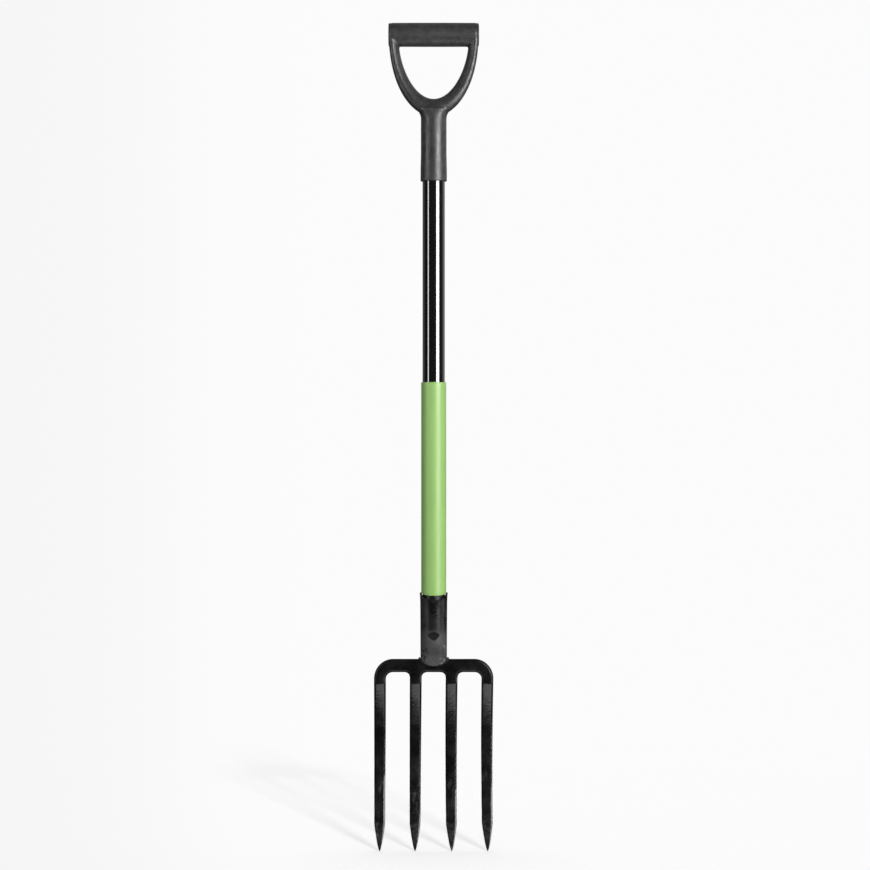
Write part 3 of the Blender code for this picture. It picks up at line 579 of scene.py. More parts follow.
def enamel_material(name, rub, roughness, shine):
    """Black enamel over forged steel. It is rubbed grey near the points, by rub, and on scuffs."""
    material, tree, out = empty_material(name)
    place = object_place(tree)
    x, y, z = split(tree, place)
    amount = add_math(tree, "MULTIPLY_ADD", add_ramp(tree, z, *RUBBED_BELOW), rub, SCUFFED)
    sizes = {"Patch Scale": 75.0, "Grain Scale": 1100.0, "Amount": amount}
    rubbed = add_group(tree, chipped, sizes)["Mask"]
    # Painted highlight as well as wear: the pale strip is only on the right edges, which face the
    # light.
    bare_and_highlit = add_node(tree, "ShaderNodeAttribute", {"attribute_name": "bare_and_highlit"}).outputs["Fac"]
    ragged = noise(tree, place, 300.0, 5.0, 0.7)
    bare_and_highlit = add_math(tree, "SUBTRACT", multiply(tree, bare_and_highlit, 0.95), ragged)
    bare_and_highlit = add_math(tree, "MULTIPLY", bare_and_highlit, 9.0, clamp=True)
    drawn_out = add_vector_math(tree, "MULTIPLY", place, SMEARS_DRAWN_OUT)[0]
    smears = multiply(
        tree,
        add_ramp(tree, noise(tree, drawn_out, 150.0, 4.0, 0.65), 0.52, 0.68, 0.0, 0.42),
        add_ramp(tree, z, *SMEARED_BELOW),
        add_ramp(tree, z, *SMEARED_ABOVE),
    )
    stain = noise(tree, place, 45.0)
    dark, pale = grey(ENAMEL_BLACK * 0.7), grey(ENAMEL_BLACK * 1.5)
    colour = mix_colour(tree, add_ramp(tree, stain, 0.35, 0.7), dark, pale)
    colour = mix_colour(tree, rubbed, colour, RUBBED_GREY)
    colour = mix_colour(tree, smears, colour, SMEARED_GREY)
    colour = mix_colour(tree, bare_and_highlit, colour, BARE_STEEL_HIGHLIT)
    skin = {"Wave Scale": 420.0, "Dust Scale": 2400.0, "Dust": 0.08}
    relief = add_group(tree, coat_skin, skin)["Height"]
    relief = add_math(tree, "MULTIPLY_ADD", noise(tree, place, 110.0, 2.0), 1.2, relief)
    relief = add_math(tree, "MULTIPLY_ADD", rubbed, -0.25, relief)
    dull = add_ramp(tree, stain, 0.3, 0.75, roughness - 0.05, roughness + 0.09)
    dull = add_math(tree, "MULTIPLY_ADD", rubbed, 0.12, dull)
    facing = split(tree, add_node(tree, "ShaderNodeNewGeometry").outputs["Normal"])[1]
    bevel_of_bend = multiply(
        tree,
        add_ramp(tree, add_math(tree, "ABSOLUTE", x), *BEND_FROM),
        add_ramp(tree, z, *BEND_ABOVE),
        add_ramp(tree, add_math(tree, "ABSOLUTE", facing), *BEVEL_TURNED),
    )
    dull = add_math(tree, "MULTIPLY_ADD", bevel_of_bend, 0.30, dull)
    dull = add_math(tree, "MULTIPLY_ADD", add_ramp(tree, z, *SHINY_BELOW), -0.08, dull)
    normal = add_bump(tree, relief, 0.35, 0.0004)
    add_principled(tree, out, colour, dull, normal, {"Specular IOR Level": shine})
    return material


tine_enamel = enamel_material("tine_enamel", 0.62, 0.18, 0.5)
add_piece("outer_bow_forged", bow_mesh, tine_enamel, "black_enamel", "outer_bow")


# Inner tines: two bars forged like the legs of the bow, and set upright. They are butted against
# the underside of the crossbar and welded to it.

SEAM = 0.00003

for name, side, lean, bow, bare_highlit_top in (
    ("left", -1.0, -0.0009, -0.0002, 0.062),
    ("right", 1.0, 0.0001, -0.0007, 0.094),
):
    heights = tine_heights(TINE_LENGTH - SEAM)
    centres = tine_path(side * TINE_PITCH / 2, heights, lean, bow)
    across = np.tile([1.0, 0.0, 0.0], (len(heights), 1))
    widths, depths, chamfers = tine_sizes(heights)
    chamfers = np.minimum(chamfers, chamfer_by_root(TINE_LENGTH - heights))
    rings = bar_rings(centres, across, widths, depths, chamfers, chamfers)
    middle = np.repeat(centres[:, :1], rings.shape[1], axis=1)
    rings = hammered(rings, middle, 2 + (side > 0.0))
    node = "inner_tine_" + name
    mesh = loft(node + "_forged", rings)
    mark_bare_highlit_edge(mesh, rings, middle, bare_highlit_top)
    add_piece(node + "_forged", mesh, tine_enamel, "black_enamel", node)


# Root welds: a bead in each corner between an inner tine and the crossbar, dressed to a hollow
# fillet that carries the bars' bevels round the corner, and enamelled with the rest.

ROOT_WELD_TOE = 0.0002
ROOT_WELD_RIPPLE = 0.00010
ROOT_WELD_RIPPLE_RATE = 2600.0
ROOT_WELD_SHORT = 0.00002


def root_weld_rings(seed):
    """Rings from the front to the back of a bead that fills the corner at the origin, below +X.

    Its face is an arc about (leg, -leg). Near both ends the arc's radius grows by the chamfer.
    """
    half_depth = TINE_DEPTH / 2 - ROOT_WELD_SHORT
    straight = half_depth - BAR_CHAMFER
    y = np.concatenate([
        np.linspace(-half_depth, -straight, 10), np.linspace(-straight, straight, 22)[1:-1],
        np.linspace(straight, half_depth, 10),
    ])
    reach = ROOT_WELD_LEG - ROOT_WELD_TOE
    radius = reach + np.maximum(np.abs(y) - straight, 0.0)
    radius = radius + ROOT_WELD_RIPPLE * (1.0 + np.sin(y * ROOT_WELD_RIPPLE_RATE + seed))
    start = math.pi - np.arcsin(reach / radius)
    end = math.pi - np.arccos(reach / radius)
    arc = start[:, None] + (end - start)[:, None] * np.linspace(0.0, 1.0, 20)
    x = ROOT_WELD_LEG + radius[:, None] * np.cos(arc)
    z = radius[:, None] * np.sin(arc) - ROOT_WELD_LEG
    wall = np.zeros((len(y), 1))
    x = np.concatenate([wall, x[:, :1], x, wall], axis=1)
    z = np.concatenate([wall, wall, z, z[:, -1:]], axis=1)
    return np.stack([x, np.broadcast_to(y[:, None], x.shape), z], axis=2)


for side, tine_name in ((-1.0, "left"), (1.0, "right")):
    for way, place_name in ((side, "outer"), (-side, "inner")):
        rings = root_weld_rings(3.0 * side + way)
        if way < 0.0:
            rings = rings[::-1] * (-1.0, 1.0, 1.0)
        corner_x = side * TINE_PITCH / 2 + way * (TINE_WIDTH / 2 + SEAM)
        rings = rings + (corner_x, 0.0, TINE_LENGTH - SEAM)
        name = "tine_weld_%s_%s" % (tine_name, place_name)
        add_piece(name + "_bead", loft(name + "_bead", rings), tine_enamel, "black_enamel", name)


# Shaft: a drawn steel tube with a thick, glossy black coat. It stands in the socket below and in
# the collar of the D-handle above, where a screw goes through its wall.

CLEARANCE = 0.0003
SHAFT_RADIUS = 0.0140
SHAFT_WALL = 0.0015
SHAFT_LENGTH = 0.6627
SHAFT_STANDOFF = 0.0224
SHAFT_BOTTOM = CROSSBAR_TOP + SHAFT_STANDOFF
SHAFT_TOP = SHAFT_BOTTOM + SHAFT_LENGTH
SHAFT_STATIONS = (0.32, 0.40, 0.60, 0.80)
DENT_DEPTH = 0.0024
DENT_HALF_WIDTH = 0.0084
DENT_RISE = 0.0048
DENT_FALL = 0.0078
DENT_HEIGHT = SHAFT_BOTTOM + 0.0084
BORE_TOP = SHAFT_TOP + CLEARANCE
COLLAR_BORE_DEPTH = 0.0887
COLLAR_BOTTOM = BORE_TOP - COLLAR_BORE_DEPTH
SCREW_RADIUS = 0.0017
SCREW_AT = COLLAR_BOTTOM + 0.0400
SHAFT_BLACK = (0.0062, 0.0063, 0.0068, 1.0)
SHAFT_SCUFF = (0.016, 0.016, 0.017, 1.0)
SHADED_BELOW = (0.3235, 0.3215)


def round_angles(count):
    """Angles evenly spaced round a full turn."""
    return np.linspace(0.0, 2 * math.pi, count + 1)[:-1]


def oval_rings(half_widths, half_depths, heights, squareness=2.0, count=128):
    """Rings round the shaft's axis: |x / a|^n + |y / b|^n = 1, where n is the squareness."""
    angle = round_angles(count)
    cos, sin = np.cos(angle), np.sin(angle)
    n = np.broadcast_to(squareness, np.shape(half_widths))[:, None]
    x = np.asarray(half_widths)[:, None] * np.sign(cos) * np.abs(cos) ** (2.0 / n)
    y = np.asarray(half_depths)[:, None] * np.sign(sin) * np.abs(sin) ** (2.0 / n)
    z = np.asarray(heights, float)
    z = np.broadcast_to(z[:, None] if z.ndim == 1 else z, x.shape)
    return np.stack([x, y, z], axis=2)


def dented(points):
    """The points with the press mark in the front: a steep lip above, a rounded slope below."""
    above = (points[..., 2] - DENT_HEIGHT) / DENT_RISE
    below = (DENT_HEIGHT - points[..., 2]) / DENT_FALL
    aside = np.abs(points[..., 0] / DENT_HALF_WIDTH) ** 1.5
    share = np.clip(1.0 - np.maximum(above, below) - aside, 0.0, 1.0)
    points = points.copy()
    points[..., 1] += np.where(points[..., 1] < 0.0, DENT_DEPTH * share, 0.0)
    return points


def turned_mesh(name, profile, count, centre, axis="Z"):
    """A solid turned round an axis from (radius, height) points that start and end on the axis."""
    profile = np.array(profile, float)
    angle = round_angles(count)
    radius, height = profile[1:-1, 0], profile[1:-1, 1]
    x, y = radius[:, None] * np.cos(angle), radius[:, None] * np.sin(angle)
    rings = np.stack([x, y, np.broadcast_to(height[:, None], x.shape)], axis=2)[::-1]
    poles = [(0.0, 0.0, profile[-1, 1]), (0.0, 0.0, profile[0, 1])]
    points = np.concatenate([rings.reshape(-1, 3), poles])
    here = np.arange(len(rings) - 1)[:, None] * count
    step, following = np.arange(count), (np.arange(count) + 1) % count
    there = here + count
    sides = [here + step, here + following, there + following, there + step]
    faces = np.stack(sides, axis=-1).reshape(-1, 4).tolist()
    low, high, last = len(rings) * count, len(rings) * count + 1, (len(rings) - 1) * count
    faces += np.stack([np.full(count, low), following, step], axis=1).tolist()
    faces += np.stack([np.full(count, high), last + step, last + following], axis=1).tolist()
    if axis == "X":
        points = points[:, [2, 1, 0]] * (1.0, 1.0, -1.0)
    if axis == "Y":
        points = points[:, [0, 2, 1]] * (1.0, 1.0, -1.0)
    mesh = bpy.data.meshes.new(name)
    mesh.from_pydata((points + centre).tolist(), [], faces)
    return shaded(mesh)


def finished(made):
    """The object's mesh with its modifiers done. The object is removed."""
    bpy.context.view_layer.update()
    graph = bpy.context.evaluated_depsgraph_get()
    result = bpy.data.meshes.new_from_object(made.evaluated_get(graph))
    result.name = made.name
    bpy.data.objects.remove(made)
    return result


def carve(mesh, *steps):
    """A copy of the mesh after each (operation, other mesh) step, done exactly."""
    made = add_object("carved", mesh)
    others = []
    for operation, other in steps:
        others.append(add_object("tool", other))
        modifier = made.modifiers.new(operation, "BOOLEAN")
        modifier.operation = operation
        modifier.object = others[-1]
    result = finished(made)
    for other in others:
        bpy.data.objects.remove(other)
    return shaded(result)


def rod_mesh(name, radius, top, bottom, count, centre=(0.0, 0.0, 0.0), axis="Z"):
    """A plain round rod along an axis."""
    profile = [(0.0, top), (radius, top), (radius, bottom), (0.0, bottom)]
    return turned_mesh(name, profile, count, centre, axis)


def screw_hole_mesh():
    """A rod where the handle screw goes in from behind, through collar and tube."""
    reach = SHAFT_RADIUS
    middle = (0.0, 1.5 * SHAFT_RADIUS, SCREW_AT)
    return rod_mesh("screw_hole", SCREW_RADIUS + CLEARANCE, reach, -reach, 32, middle, "Y")


def tube_mesh(name, outer, inner):
    """A tube from its outer rings, lowest first, and its inner rings, highest first."""
    return loft(name, np.concatenate([outer, inner]), endless=True)


dent_span = np.linspace(DENT_HEIGHT - DENT_FALL, DENT_HEIGHT + DENT_RISE, 24)
heights = np.concatenate([[SHAFT_BOTTOM], dent_span, SHAFT_STATIONS, [SHAFT_TOP]])
plain = np.full(len(heights), SHAFT_RADIUS)
outer = dented(oval_rings(plain, plain, heights))
inner = dented(oval_rings(plain - SHAFT_WALL, plain - SHAFT_WALL, heights[::-1]))
shaft_mesh = carve(tube_mesh("shaft_coated", outer, inner), ("DIFFERENCE", screw_hole_mesh()))

shaft_coat, tree, out = empty_material("shaft_coat")
x, y, z = split(tree, object_place(tree))
skin = {"Wave Scale": 120.0, "Dust Scale": 1700.0, "Dust": 0.0}
normal = add_bump(tree, add_group(tree, coat_skin, skin)["Height"], 0.02, 0.0003)
sizes = {"Patch Scale": 22.0, "Grain Scale": 700.0, "Amount": 0.05}
scuffs = add_group(tree, chipped, sizes)["Mask"]
colour = mix_colour(tree, scuffs, SHAFT_BLACK, SHAFT_SCUFF)
in_mouth = add_ramp(tree, z, *SHADED_BELOW)
dulled = add_math(tree, "MAXIMUM", scuffs, in_mouth)
dull = add_math(tree, "MULTIPLY_ADD", dulled, 0.22, 0.12)
coat = {
    "Specular IOR Level": 0.5,
    "Coat IOR": 1.68,
    "Coat Weight": add_math(tree, "SUBTRACT", 1.0, in_mouth),
    "Coat Roughness": 0.05,
}
add_principled(tree, out, colour, dull, normal, coat)
add_piece("shaft_coated", shaft_mesh, shaft_coat, "gloss_black_coating", "shaft_tube")


# Grip sleeve: a pale green plastic tube, slipped over the lower half of the shaft. Its lower edge
# sags a little in front and behind, into the scooped mouth of the socket.

SLEEVE_WALL = 0.00135
SLEEVE_LENGTH = 0.2624
SLEEVE_SAG = 0.0037
SLEEVE_EDGE = 0.0006
SOCKET_LENGTH = 0.0831
SCOOP_CURVE = 0.7
SOCKET_TOP = CROSSBAR_TOP + SOCKET_LENGTH
SLEEVE_BOTTOM = SOCKET_TOP + CLEARANCE
BORE_RADIUS = SHAFT_RADIUS + CLEARANCE
SLEEVE_RADIUS = BORE_RADIUS + SLEEVE_WALL
SLEEVE_GREEN = (0.242, 0.438, 0.112, 1.0)
SLEEVE_PALE = (0.270, 0.480, 0.130, 1.0)
SLEEVE_RUBBED = (0.400, 0.600, 0.300, 1.0)


def scooped(depth, count=128):
    """How far a tube's end is scooped out: not at the sides, by depth in front and behind."""
    return depth * np.abs(np.sin(round_angles(count))) ** SCOOP_CURVE


edge = np.radians(np.linspace(0.0, 90.0, 6))
low = SLEEVE_BOTTOM - scooped(SLEEVE_SAG)
top = SLEEVE_BOTTOM + SLEEVE_LENGTH
round_off = SLEEVE_EDGE * (1.0 - np.cos(edge))
lift = SLEEVE_EDGE * (1.0 - np.sin(edge))
outer_radius = np.full(6, SLEEVE_RADIUS)
outer_radius = np.concatenate([SLEEVE_RADIUS - lift, outer_radius, (SLEEVE_RADIUS - lift)[::-1]])
levels = [low + rise for rise in round_off]
levels += [low + (top - low) * share for share in (0.02, 0.1, 0.3, 0.6, 0.9, 0.98)]
levels += [np.full(len(low), top - rise) for rise in round_off[::-1]]
outer = oval_rings(outer_radius, outer_radius, np.array(levels))
inner_radius = np.full(3, BORE_RADIUS)
flat_top = np.full(len(low), top)
inner = oval_rings(inner_radius, inner_radius, np.array([flat_top, (low + top) / 2, low]))
sleeve_mesh = tube_mesh("grip_sleeve_moulded", outer, inner)

# Moulded grain: the fine matt texture of a spark-eroded mould.
moulded_grain, given, given_back = new_group(
    "moulded_grain", {"Grain Scale": 2200.0, "Flow Scale": 40.0}, ["Height", "Flow"]
)
place = object_place(moulded_grain)
grain = noise(moulded_grain, place, given.outputs["Grain Scale"], 3.0, 0.6)
flow = noise(moulded_grain, place, given.outputs["Flow Scale"], 2.0)
moulded_grain.links.new(grain, given_back.inputs["Height"])
moulded_grain.links.new(flow, given_back.inputs["Flow"])

sleeve_plastic, tree, out = empty_material("sleeve_plastic")
surface = add_group(tree, moulded_grain, {"Grain Scale": 1500.0, "Flow Scale": 30.0})
colour = mix_colour(tree, surface["Flow"], SLEEVE_GREEN, SLEEVE_PALE)
sizes = {"Patch Scale": 25.0, "Grain Scale": 800.0, "Amount": 0.2}
rubs = multiply(tree, add_group(tree, chipped, sizes)["Mask"], 0.4)
colour = mix_colour(tree, rubs, colour, SLEEVE_RUBBED)
dull = add_ramp(tree, surface["Flow"], 0.3, 0.7, 0.42, 0.50, "LINEAR")
normal = add_bump(tree, surface["Height"], 0.12, 0.0002)
add_principled(tree, out, colour, dull, normal, {"Specular IOR Level": 0.9})
add_piece("grip_sleeve_moulded", sleeve_mesh, sleeve_plastic, "green_plastic", "grip_sleeve")


# Socket: a steel tube with a flared, scooped mouth. A press mark in front crimps the shaft. Its
# lower end is slit at the sides and dressed down as two tongues over the crossbar.

SOCKET_WALL = 0.0025
SOCKET_TAPER = 0.0003
MOUTH_SCOOP = 0.0083
MOUTH_FLARE = 0.0007
MOUTH_FLARE_LENGTH = 0.010
TONGUE_OVERLAP = 0.0083
TONGUE_CURVE = 1.6
TONGUE_RAMP = 0.0205
RAMP_EASE = 0.9
TONGUE_SQUARENESS = 3.6
TONGUE_LEDGE = 0.0004
SLIT_WIDTH = 0.0024
SLIT_HEIGHT = 0.0160
SOCKET_RADIUS = BORE_RADIUS + SOCKET_WALL
SLOT_HALF_DEPTH = TINE_DEPTH / 2 + CLEARANCE
TONGUE_HALF_DEPTH = SLOT_HALF_DEPTH + SOCKET_WALL
SOCKET_BLACK = (0.0040, 0.0038, 0.0045, 1.0)
SOCKET_STAIN = (0.0120, 0.0120, 0.0130, 1.0)
LOW_DARK = (0.036, 0.036, 0.036, 1.0)
LOW_PALE = (0.074, 0.074, 0.073, 1.0)
GLINT_GREY = (0.240, 0.235, 0.225, 1.0)
PALER_BELOW = (DENT_HEIGHT + 0.022, DENT_HEIGHT + 0.001)
DARK_PATCHES_BELOW = (0.266, 0.252)
DARK_PATCHES_FROM = (0.004, 0.010)
GLINTS_BELOW = (0.262, 0.254)
GLINTS_RIGHT_OF = (0.005, 0.009)
PAINTED_HIGHLIGHT_LEFT_OF = (-0.004, -0.013)
FRONT_OF = (-0.008, -0.010)


def socket_rings(heights, bore=False):
    """The socket's outside or bore: round above, flatter and squarer at the tongues."""
    up = np.clip((heights - CROSSBAR_TOP) / SOCKET_LENGTH, 0.0, 1.0)
    radius = SOCKET_RADIUS - SOCKET_TAPER * (1.0 - up)
    ramp = np.clip((CROSSBAR_TOP + TONGUE_RAMP - heights) / TONGUE_RAMP, 0.0, 1.0)
    pressed = (1.0 - RAMP_EASE) * ramp + RAMP_EASE * ramp * ramp * (3.0 - 2.0 * ramp)
    squareness = 2.0 + (TONGUE_SQUARENESS - 2.0) * pressed
    if not bore:
        half_depth = radius + (TONGUE_HALF_DEPTH - radius) * pressed
        return oval_rings(radius, half_depth, heights, squareness)
    half_width = BORE_RADIUS + (radius - SOCKET_WALL - BORE_RADIUS) * pressed
    half_depth = BORE_RADIUS + (SLOT_HALF_DEPTH - TONGUE_LEDGE - BORE_RADIUS) * pressed
    return oval_rings(half_width, half_depth, heights, squareness)


def mouth_rings(radius):
    """Rings that spread from the plain tube to the flared and scooped mouth, lowest first."""
    foot = SOCKET_TOP - MOUTH_SCOOP - MOUTH_FLARE_LENGTH
    share = np.linspace(0.0, 1.0, 12)
    levels = foot + (SOCKET_TOP - foot - scooped(MOUTH_SCOOP)) * share[:, None]
    spread = radius + MOUTH_FLARE * share**2.5
    return oval_rings(spread, spread, levels)


def box_mesh(name, size, centre):
    """A plain box about its centre."""
    shape = bmesh.new()
    bmesh.ops.create_cube(shape, size=1.0)
    bmesh.ops.scale(shape, vec=size, verts=shape.verts)
    bmesh.ops.translate(shape, vec=centre, verts=shape.verts)
    mesh = bpy.data.meshes.new(name)
    shape.to_mesh(mesh)
    shape.free()
    return mesh


lowest = CROSSBAR_TOP - TONGUE_OVERLAP
heights = np.concatenate([
    np.linspace(lowest, CROSSBAR_TOP + TONGUE_RAMP, 40), dent_span[1:], [0.290]
])
outer = np.concatenate([socket_rings(heights), mouth_rings(SOCKET_RADIUS)])
inner = np.concatenate([mouth_rings(BORE_RADIUS)[::-1], socket_rings(heights[::-1], bore=True)])
socket_mesh = tube_mesh("socket_dressed", dented(outer), dented(inner))
wide = 4 * SOCKET_RADIUS
slot_top = CROSSBAR_TOP + CLEARANCE
slot = box_mesh("slot", (wide, 2 * SLOT_HALF_DEPTH, wide), (0.0, 0.0, slot_top - wide / 2))


def tongue_outline(angle, half_width, overlap):
    """(x, z) round a tongue, |x / a|^n + |z / b|^n = 1 about the crossbar's top edge."""
    sin, cos = np.sin(angle), np.cos(angle)
    x = half_width * np.sign(sin) * np.abs(sin) ** (2.0 / TONGUE_CURVE)
    z = CROSSBAR_TOP - overlap * np.sign(cos) * np.abs(cos) ** (2.0 / TONGUE_CURVE)
    return np.stack([x, z], axis=1)


outline = tongue_outline(round_angles(144), SOCKET_RADIUS, TONGUE_OVERLAP)
kept = loft("kept", [np.insert(outline, 1, y, axis=1) for y in (wide, -wide)])
trim = box_mesh("trim", (wide, wide, wide), (0.0, 0.0, slot_top - CLEARANCE / 2 - wide / 2))
trim = carve(trim, ("DIFFERENCE", kept))
radius = SLIT_WIDTH / 2
foot = CROSSBAR_TOP - SLIT_HEIGHT
arc = np.radians(np.linspace(3.0, 177.0, 17))
y = np.concatenate([[radius], radius * np.cos(arc), [-radius]])
z = np.concatenate([[foot], CROSSBAR_TOP + SLIT_HEIGHT - radius + radius * np.sin(arc), [foot]])
slit = loft("slit", [np.stack([np.full(len(y), x), y, z], axis=1) for x in (-wide / 2, wide / 2)])
socket_mesh = carve(socket_mesh, ("DIFFERENCE", slot), ("DIFFERENCE", trim), ("DIFFERENCE", slit))

# Its enamel is glossy and stained above, with a painted highlight down its left side.
# Low down it is paler and duller, with darker patches at the sides, and pale flecks on the right
# that are painted glints. The press mark is painted dark, as painted shade in its hollow.
socket_enamel, tree, out = empty_material("socket_enamel")
place = object_place(tree)
x, y, z = split(tree, place)
blotches = noise(tree, place, 160.0, 4.0, 0.65)
blotched_z = add_math(tree, "MULTIPLY_ADD", blotches, 0.016, z)
# Paler and duller on the lower part of the socket, near the weld.
paler_low = add_ramp(tree, blotched_z, *PALER_BELOW)
stained = add_ramp(tree, noise(tree, place, 95.0), 0.42, 0.60)
# Painted highlight: colour is added down the left side, as the reflection of the light there.
painted_highlight_left = add_ramp(tree, x, *PAINTED_HIGHLIGHT_LEFT_OF, 0.0, 0.020)
upper = mix_colour(tree, stained, SOCKET_BLACK, SOCKET_STAIN)
upper = add_vector_math(tree, "ADD", upper, painted_highlight_left)[0]
lower = mix_colour(tree, blotches, LOW_DARK, LOW_PALE)
# Darker patches low down on both sides of the socket.
dark_patches = multiply(
    tree,
    add_ramp(tree, noise(tree, place, 230.0, 4.0, 0.7), 0.49, 0.62),
    add_ramp(tree, add_math(tree, "ABSOLUTE", x), *DARK_PATCHES_FROM),
    add_ramp(tree, z, *DARK_PATCHES_BELOW),
)
lower = mix_colour(tree, dark_patches, lower, grey(0.0060))
# Painted glints: pale flecks by the weld, on the right side only, where the light falls.
painted_glints = multiply(
    tree,
    add_ramp(tree, noise(tree, place, 330.0, 3.0, 0.7), 0.59, 0.67),
    add_ramp(tree, z, *GLINTS_BELOW),
    add_ramp(tree, x, *GLINTS_RIGHT_OF),
)
lower = mix_colour(tree, painted_glints, lower, GLINT_GREY)
colour = mix_colour(tree, paler_low, upper, lower)
# Painted shade: the press mark is darkened, standing in for the shade in its hollow.
rise = add_math(tree, "SUBTRACT", z, DENT_HEIGHT)
above, below = multiply(tree, rise, 1.0 / DENT_RISE), multiply(tree, rise, -1.0 / DENT_FALL)
aside = add_math(tree, "ABSOLUTE", multiply(tree, x, 1.0 / DENT_HALF_WIDTH))
aside = add_math(tree, "POWER", aside, 1.5)
from_dent = add_math(tree, "ADD", add_math(tree, "MAXIMUM", above, below), aside)
painted_shade_in_dent = multiply(tree, add_ramp(tree, from_dent, 0.98, 0.84), add_ramp(tree, y, *FRONT_OF))
colour = mix_colour(tree, painted_shade_in_dent, colour, grey(0.0030))
dull = add_ramp(tree, paler_low, 0.0, 1.0, 0.27, 0.48)
dull = add_math(tree, "MULTIPLY_ADD", stained, 0.06, dull)
dull = add_math(tree, "MAXIMUM", dull, multiply(tree, painted_shade_in_dent, 0.85))
skin = {"Wave Scale": 330.0, "Dust Scale": 2100.0, "Dust": 0.3}
relief = add_group(tree, coat_skin, skin)["Height"]
relief = add_math(tree, "MULTIPLY_ADD", blotches, 1.5, relief)
normal = add_bump(tree, relief, 0.35, 0.0004)
add_principled(tree, out, colour, dull, normal, {"Specular IOR Level": 0.38})
add_piece("socket_dressed", socket_mesh, socket_enamel, "black_enamel", "socket")


# Socket weld: one steel bead that joins the socket to the bow, laid by hand round both tongues
# and over the crossbar. It keeps the ripples of the weld, and is enamelled with the rest.

WELD_LEG = 0.0023
WELD_TOE = 0.0004
WELD_CROWN = 0.0014
SEAT_CHAMFER = 0.0018
LEG_RIPPLE = 0.16
CROWN_RIPPLE = 0.14


def evenly_along(curve, count):
    """Points evenly spaced by length along a finely drawn curve."""
    length = np.concatenate([[0.0], np.cumsum(np.linalg.norm(np.diff(curve, axis=0), axis=1))])
    wanted = np.linspace(0.0, length[-1], count)
    return np.stack([np.interp(wanted, length, column) for column in curve.T], axis=1)


face = TINE_DEPTH / 2 + CLEARANCE
half_turn = math.tan(math.pi / 8)
chamfer = SEAT_CHAMFER + CLEARANCE * (1.0 - half_turn)
half_width = SOCKET_RADIUS + CLEARANCE
quarter_turn = np.linspace(0.0, math.pi / 2, 900)
fine = tongue_outline(quarter_turn, half_width, TONGUE_OVERLAP + CLEARANCE)
outline = evenly_along(fine[fine[:, 1] <= slot_top - chamfer], 90)
along = np.gradient(outline, axis=0)
along /= np.linalg.norm(along, axis=1, keepdims=True)
along[0], along[-1] = (1.0, 0.0), (0.0, 1.0)
over_bar = np.linspace(chamfer - face, 0.0, 9)
over_bar = np.stack([np.full(9, half_width), over_bar, np.full(9, slot_top)], axis=1)
corners = np.concatenate([np.insert(outline, 1, -face, axis=1), over_bar])
front = len(outline)
outwards = np.tile([1.0, 0.0, 0.0], (len(corners), 1))
outwards[:front] = np.insert(along[:, ::-1] * (1.0, -1.0), 1, 0.0, axis=1)
off = np.zeros(corners.shape)
off[:front, 1] = -1.0
off[front:, 2] = 1.0
off[front - 1, 2], off[front, 1] = half_turn, -half_turn
step = np.arange(len(corners))
leg_wave = 1.0 + np.sin(step * 0.31) * np.sin(step * 0.83 + 1.0)
crown_wave = 1.0 + np.sin(step * 0.92 + 0.6) * np.cos(step * 0.17)
leg = WELD_LEG * (1.0 - LEG_RIPPLE * leg_wave)
crown = WELD_CROWN * (1.0 - CROWN_RIPPLE * crown_wave)
low, high = crown * 0.7, crown * 1.35
none, toe = np.zeros(len(step)), np.full(len(step), WELD_TOE)
outwards_by = np.stack([none, none, toe, low, crown, high, leg, leg], axis=1)[..., None]
off_by = np.stack([none, leg, leg, high, crown, low, toe, none], axis=1)[..., None]
quarter = corners[:, None] + outwards_by * outwards[:, None] + off_by * off[:, None]
right = np.concatenate([quarter, quarter[-2::-1] * (1.0, -1.0, 1.0)])
left = right[1:-1] * (-1.0, -1.0, 1.0)
weld_mesh = loft("socket_weld_bead", np.concatenate([right, left]), endless=True)
weld_enamel = enamel_material("weld_enamel", 0.0, 0.42, 0.4)
add_piece("socket_weld_bead", weld_mesh, weld_enamel, "black_enamel", "socket_weld")


# D-handle: yoke, grip bar and collar, moulded in one piece from charcoal plastic in a mould that
# opens front and back. The grip bar is cored from both ends.

COLLAR_RADIUS = 0.01605
COLLAR_MOUTH_RADIUS = 0.0165
COLLAR_MOUTH_LENGTH = 0.0145
COLLAR_MOUTH_CHAMFER = 0.0005
COLLAR_TAPER_LENGTH = 0.0190
COLLAR_FILLET_DROP = 0.0045
COLLAR_FLARE = 0.0042
COLLAR_TOP_SQUARENESS = 2.8
COLLAR_ROOF = 0.0004
COLLAR_DOME = 0.0042
HANDLE_FLOOR = 0.0142
YOKE_FLOOR = 0.0208
WINDOW_HEIGHT = 0.0655
WINDOW_HALF_WIDTH = 0.0432
WINDOW_RISE = 0.0025
WINDOW_CURVE = 1.6
ARM_WIDTH = 0.0134
ARM_TOP_DROP = 0.0010
ARM_END_RADIUS = 0.0122
ARM_RIDGE_DEPTH = 0.0142
ARM_WAIST = 0.0014
ARM_INNER_FALL = 0.0064
ARM_OUTER_FALL = 0.0028
ARM_INNER_EDGE = 0.0030
ARM_OUTER_EDGE = 0.0024
RIDGE_INSET_AT_GRIP = 0.0042
RIDGE_INSET_AT_COLLAR = 0.0096
YOKE_RISE = 0.0035
YOKE_CURVE = 2.15
GRIP_RADIUS = 0.0150
GRIP_WAIST = 0.00015
GRIP_EDGE = 0.0022
END_DISC_PROUD = 0.0003
PLUG_RADIUS = 0.0105
PLUG_THICKNESS = 0.0022
SPIGOT_RADIUS = 0.0086
CORE_WEB = 0.0040
BORE_ROD_PAST = 0.02
HANDLE_VOXEL = 0.00082
HANDLE_SOFTENING = 3
DISC_LINE_AT = 0.0537
DISC_LINE_HALF_WIDTH = 0.0011
DISC_LINE_DEPTH = 0.0006
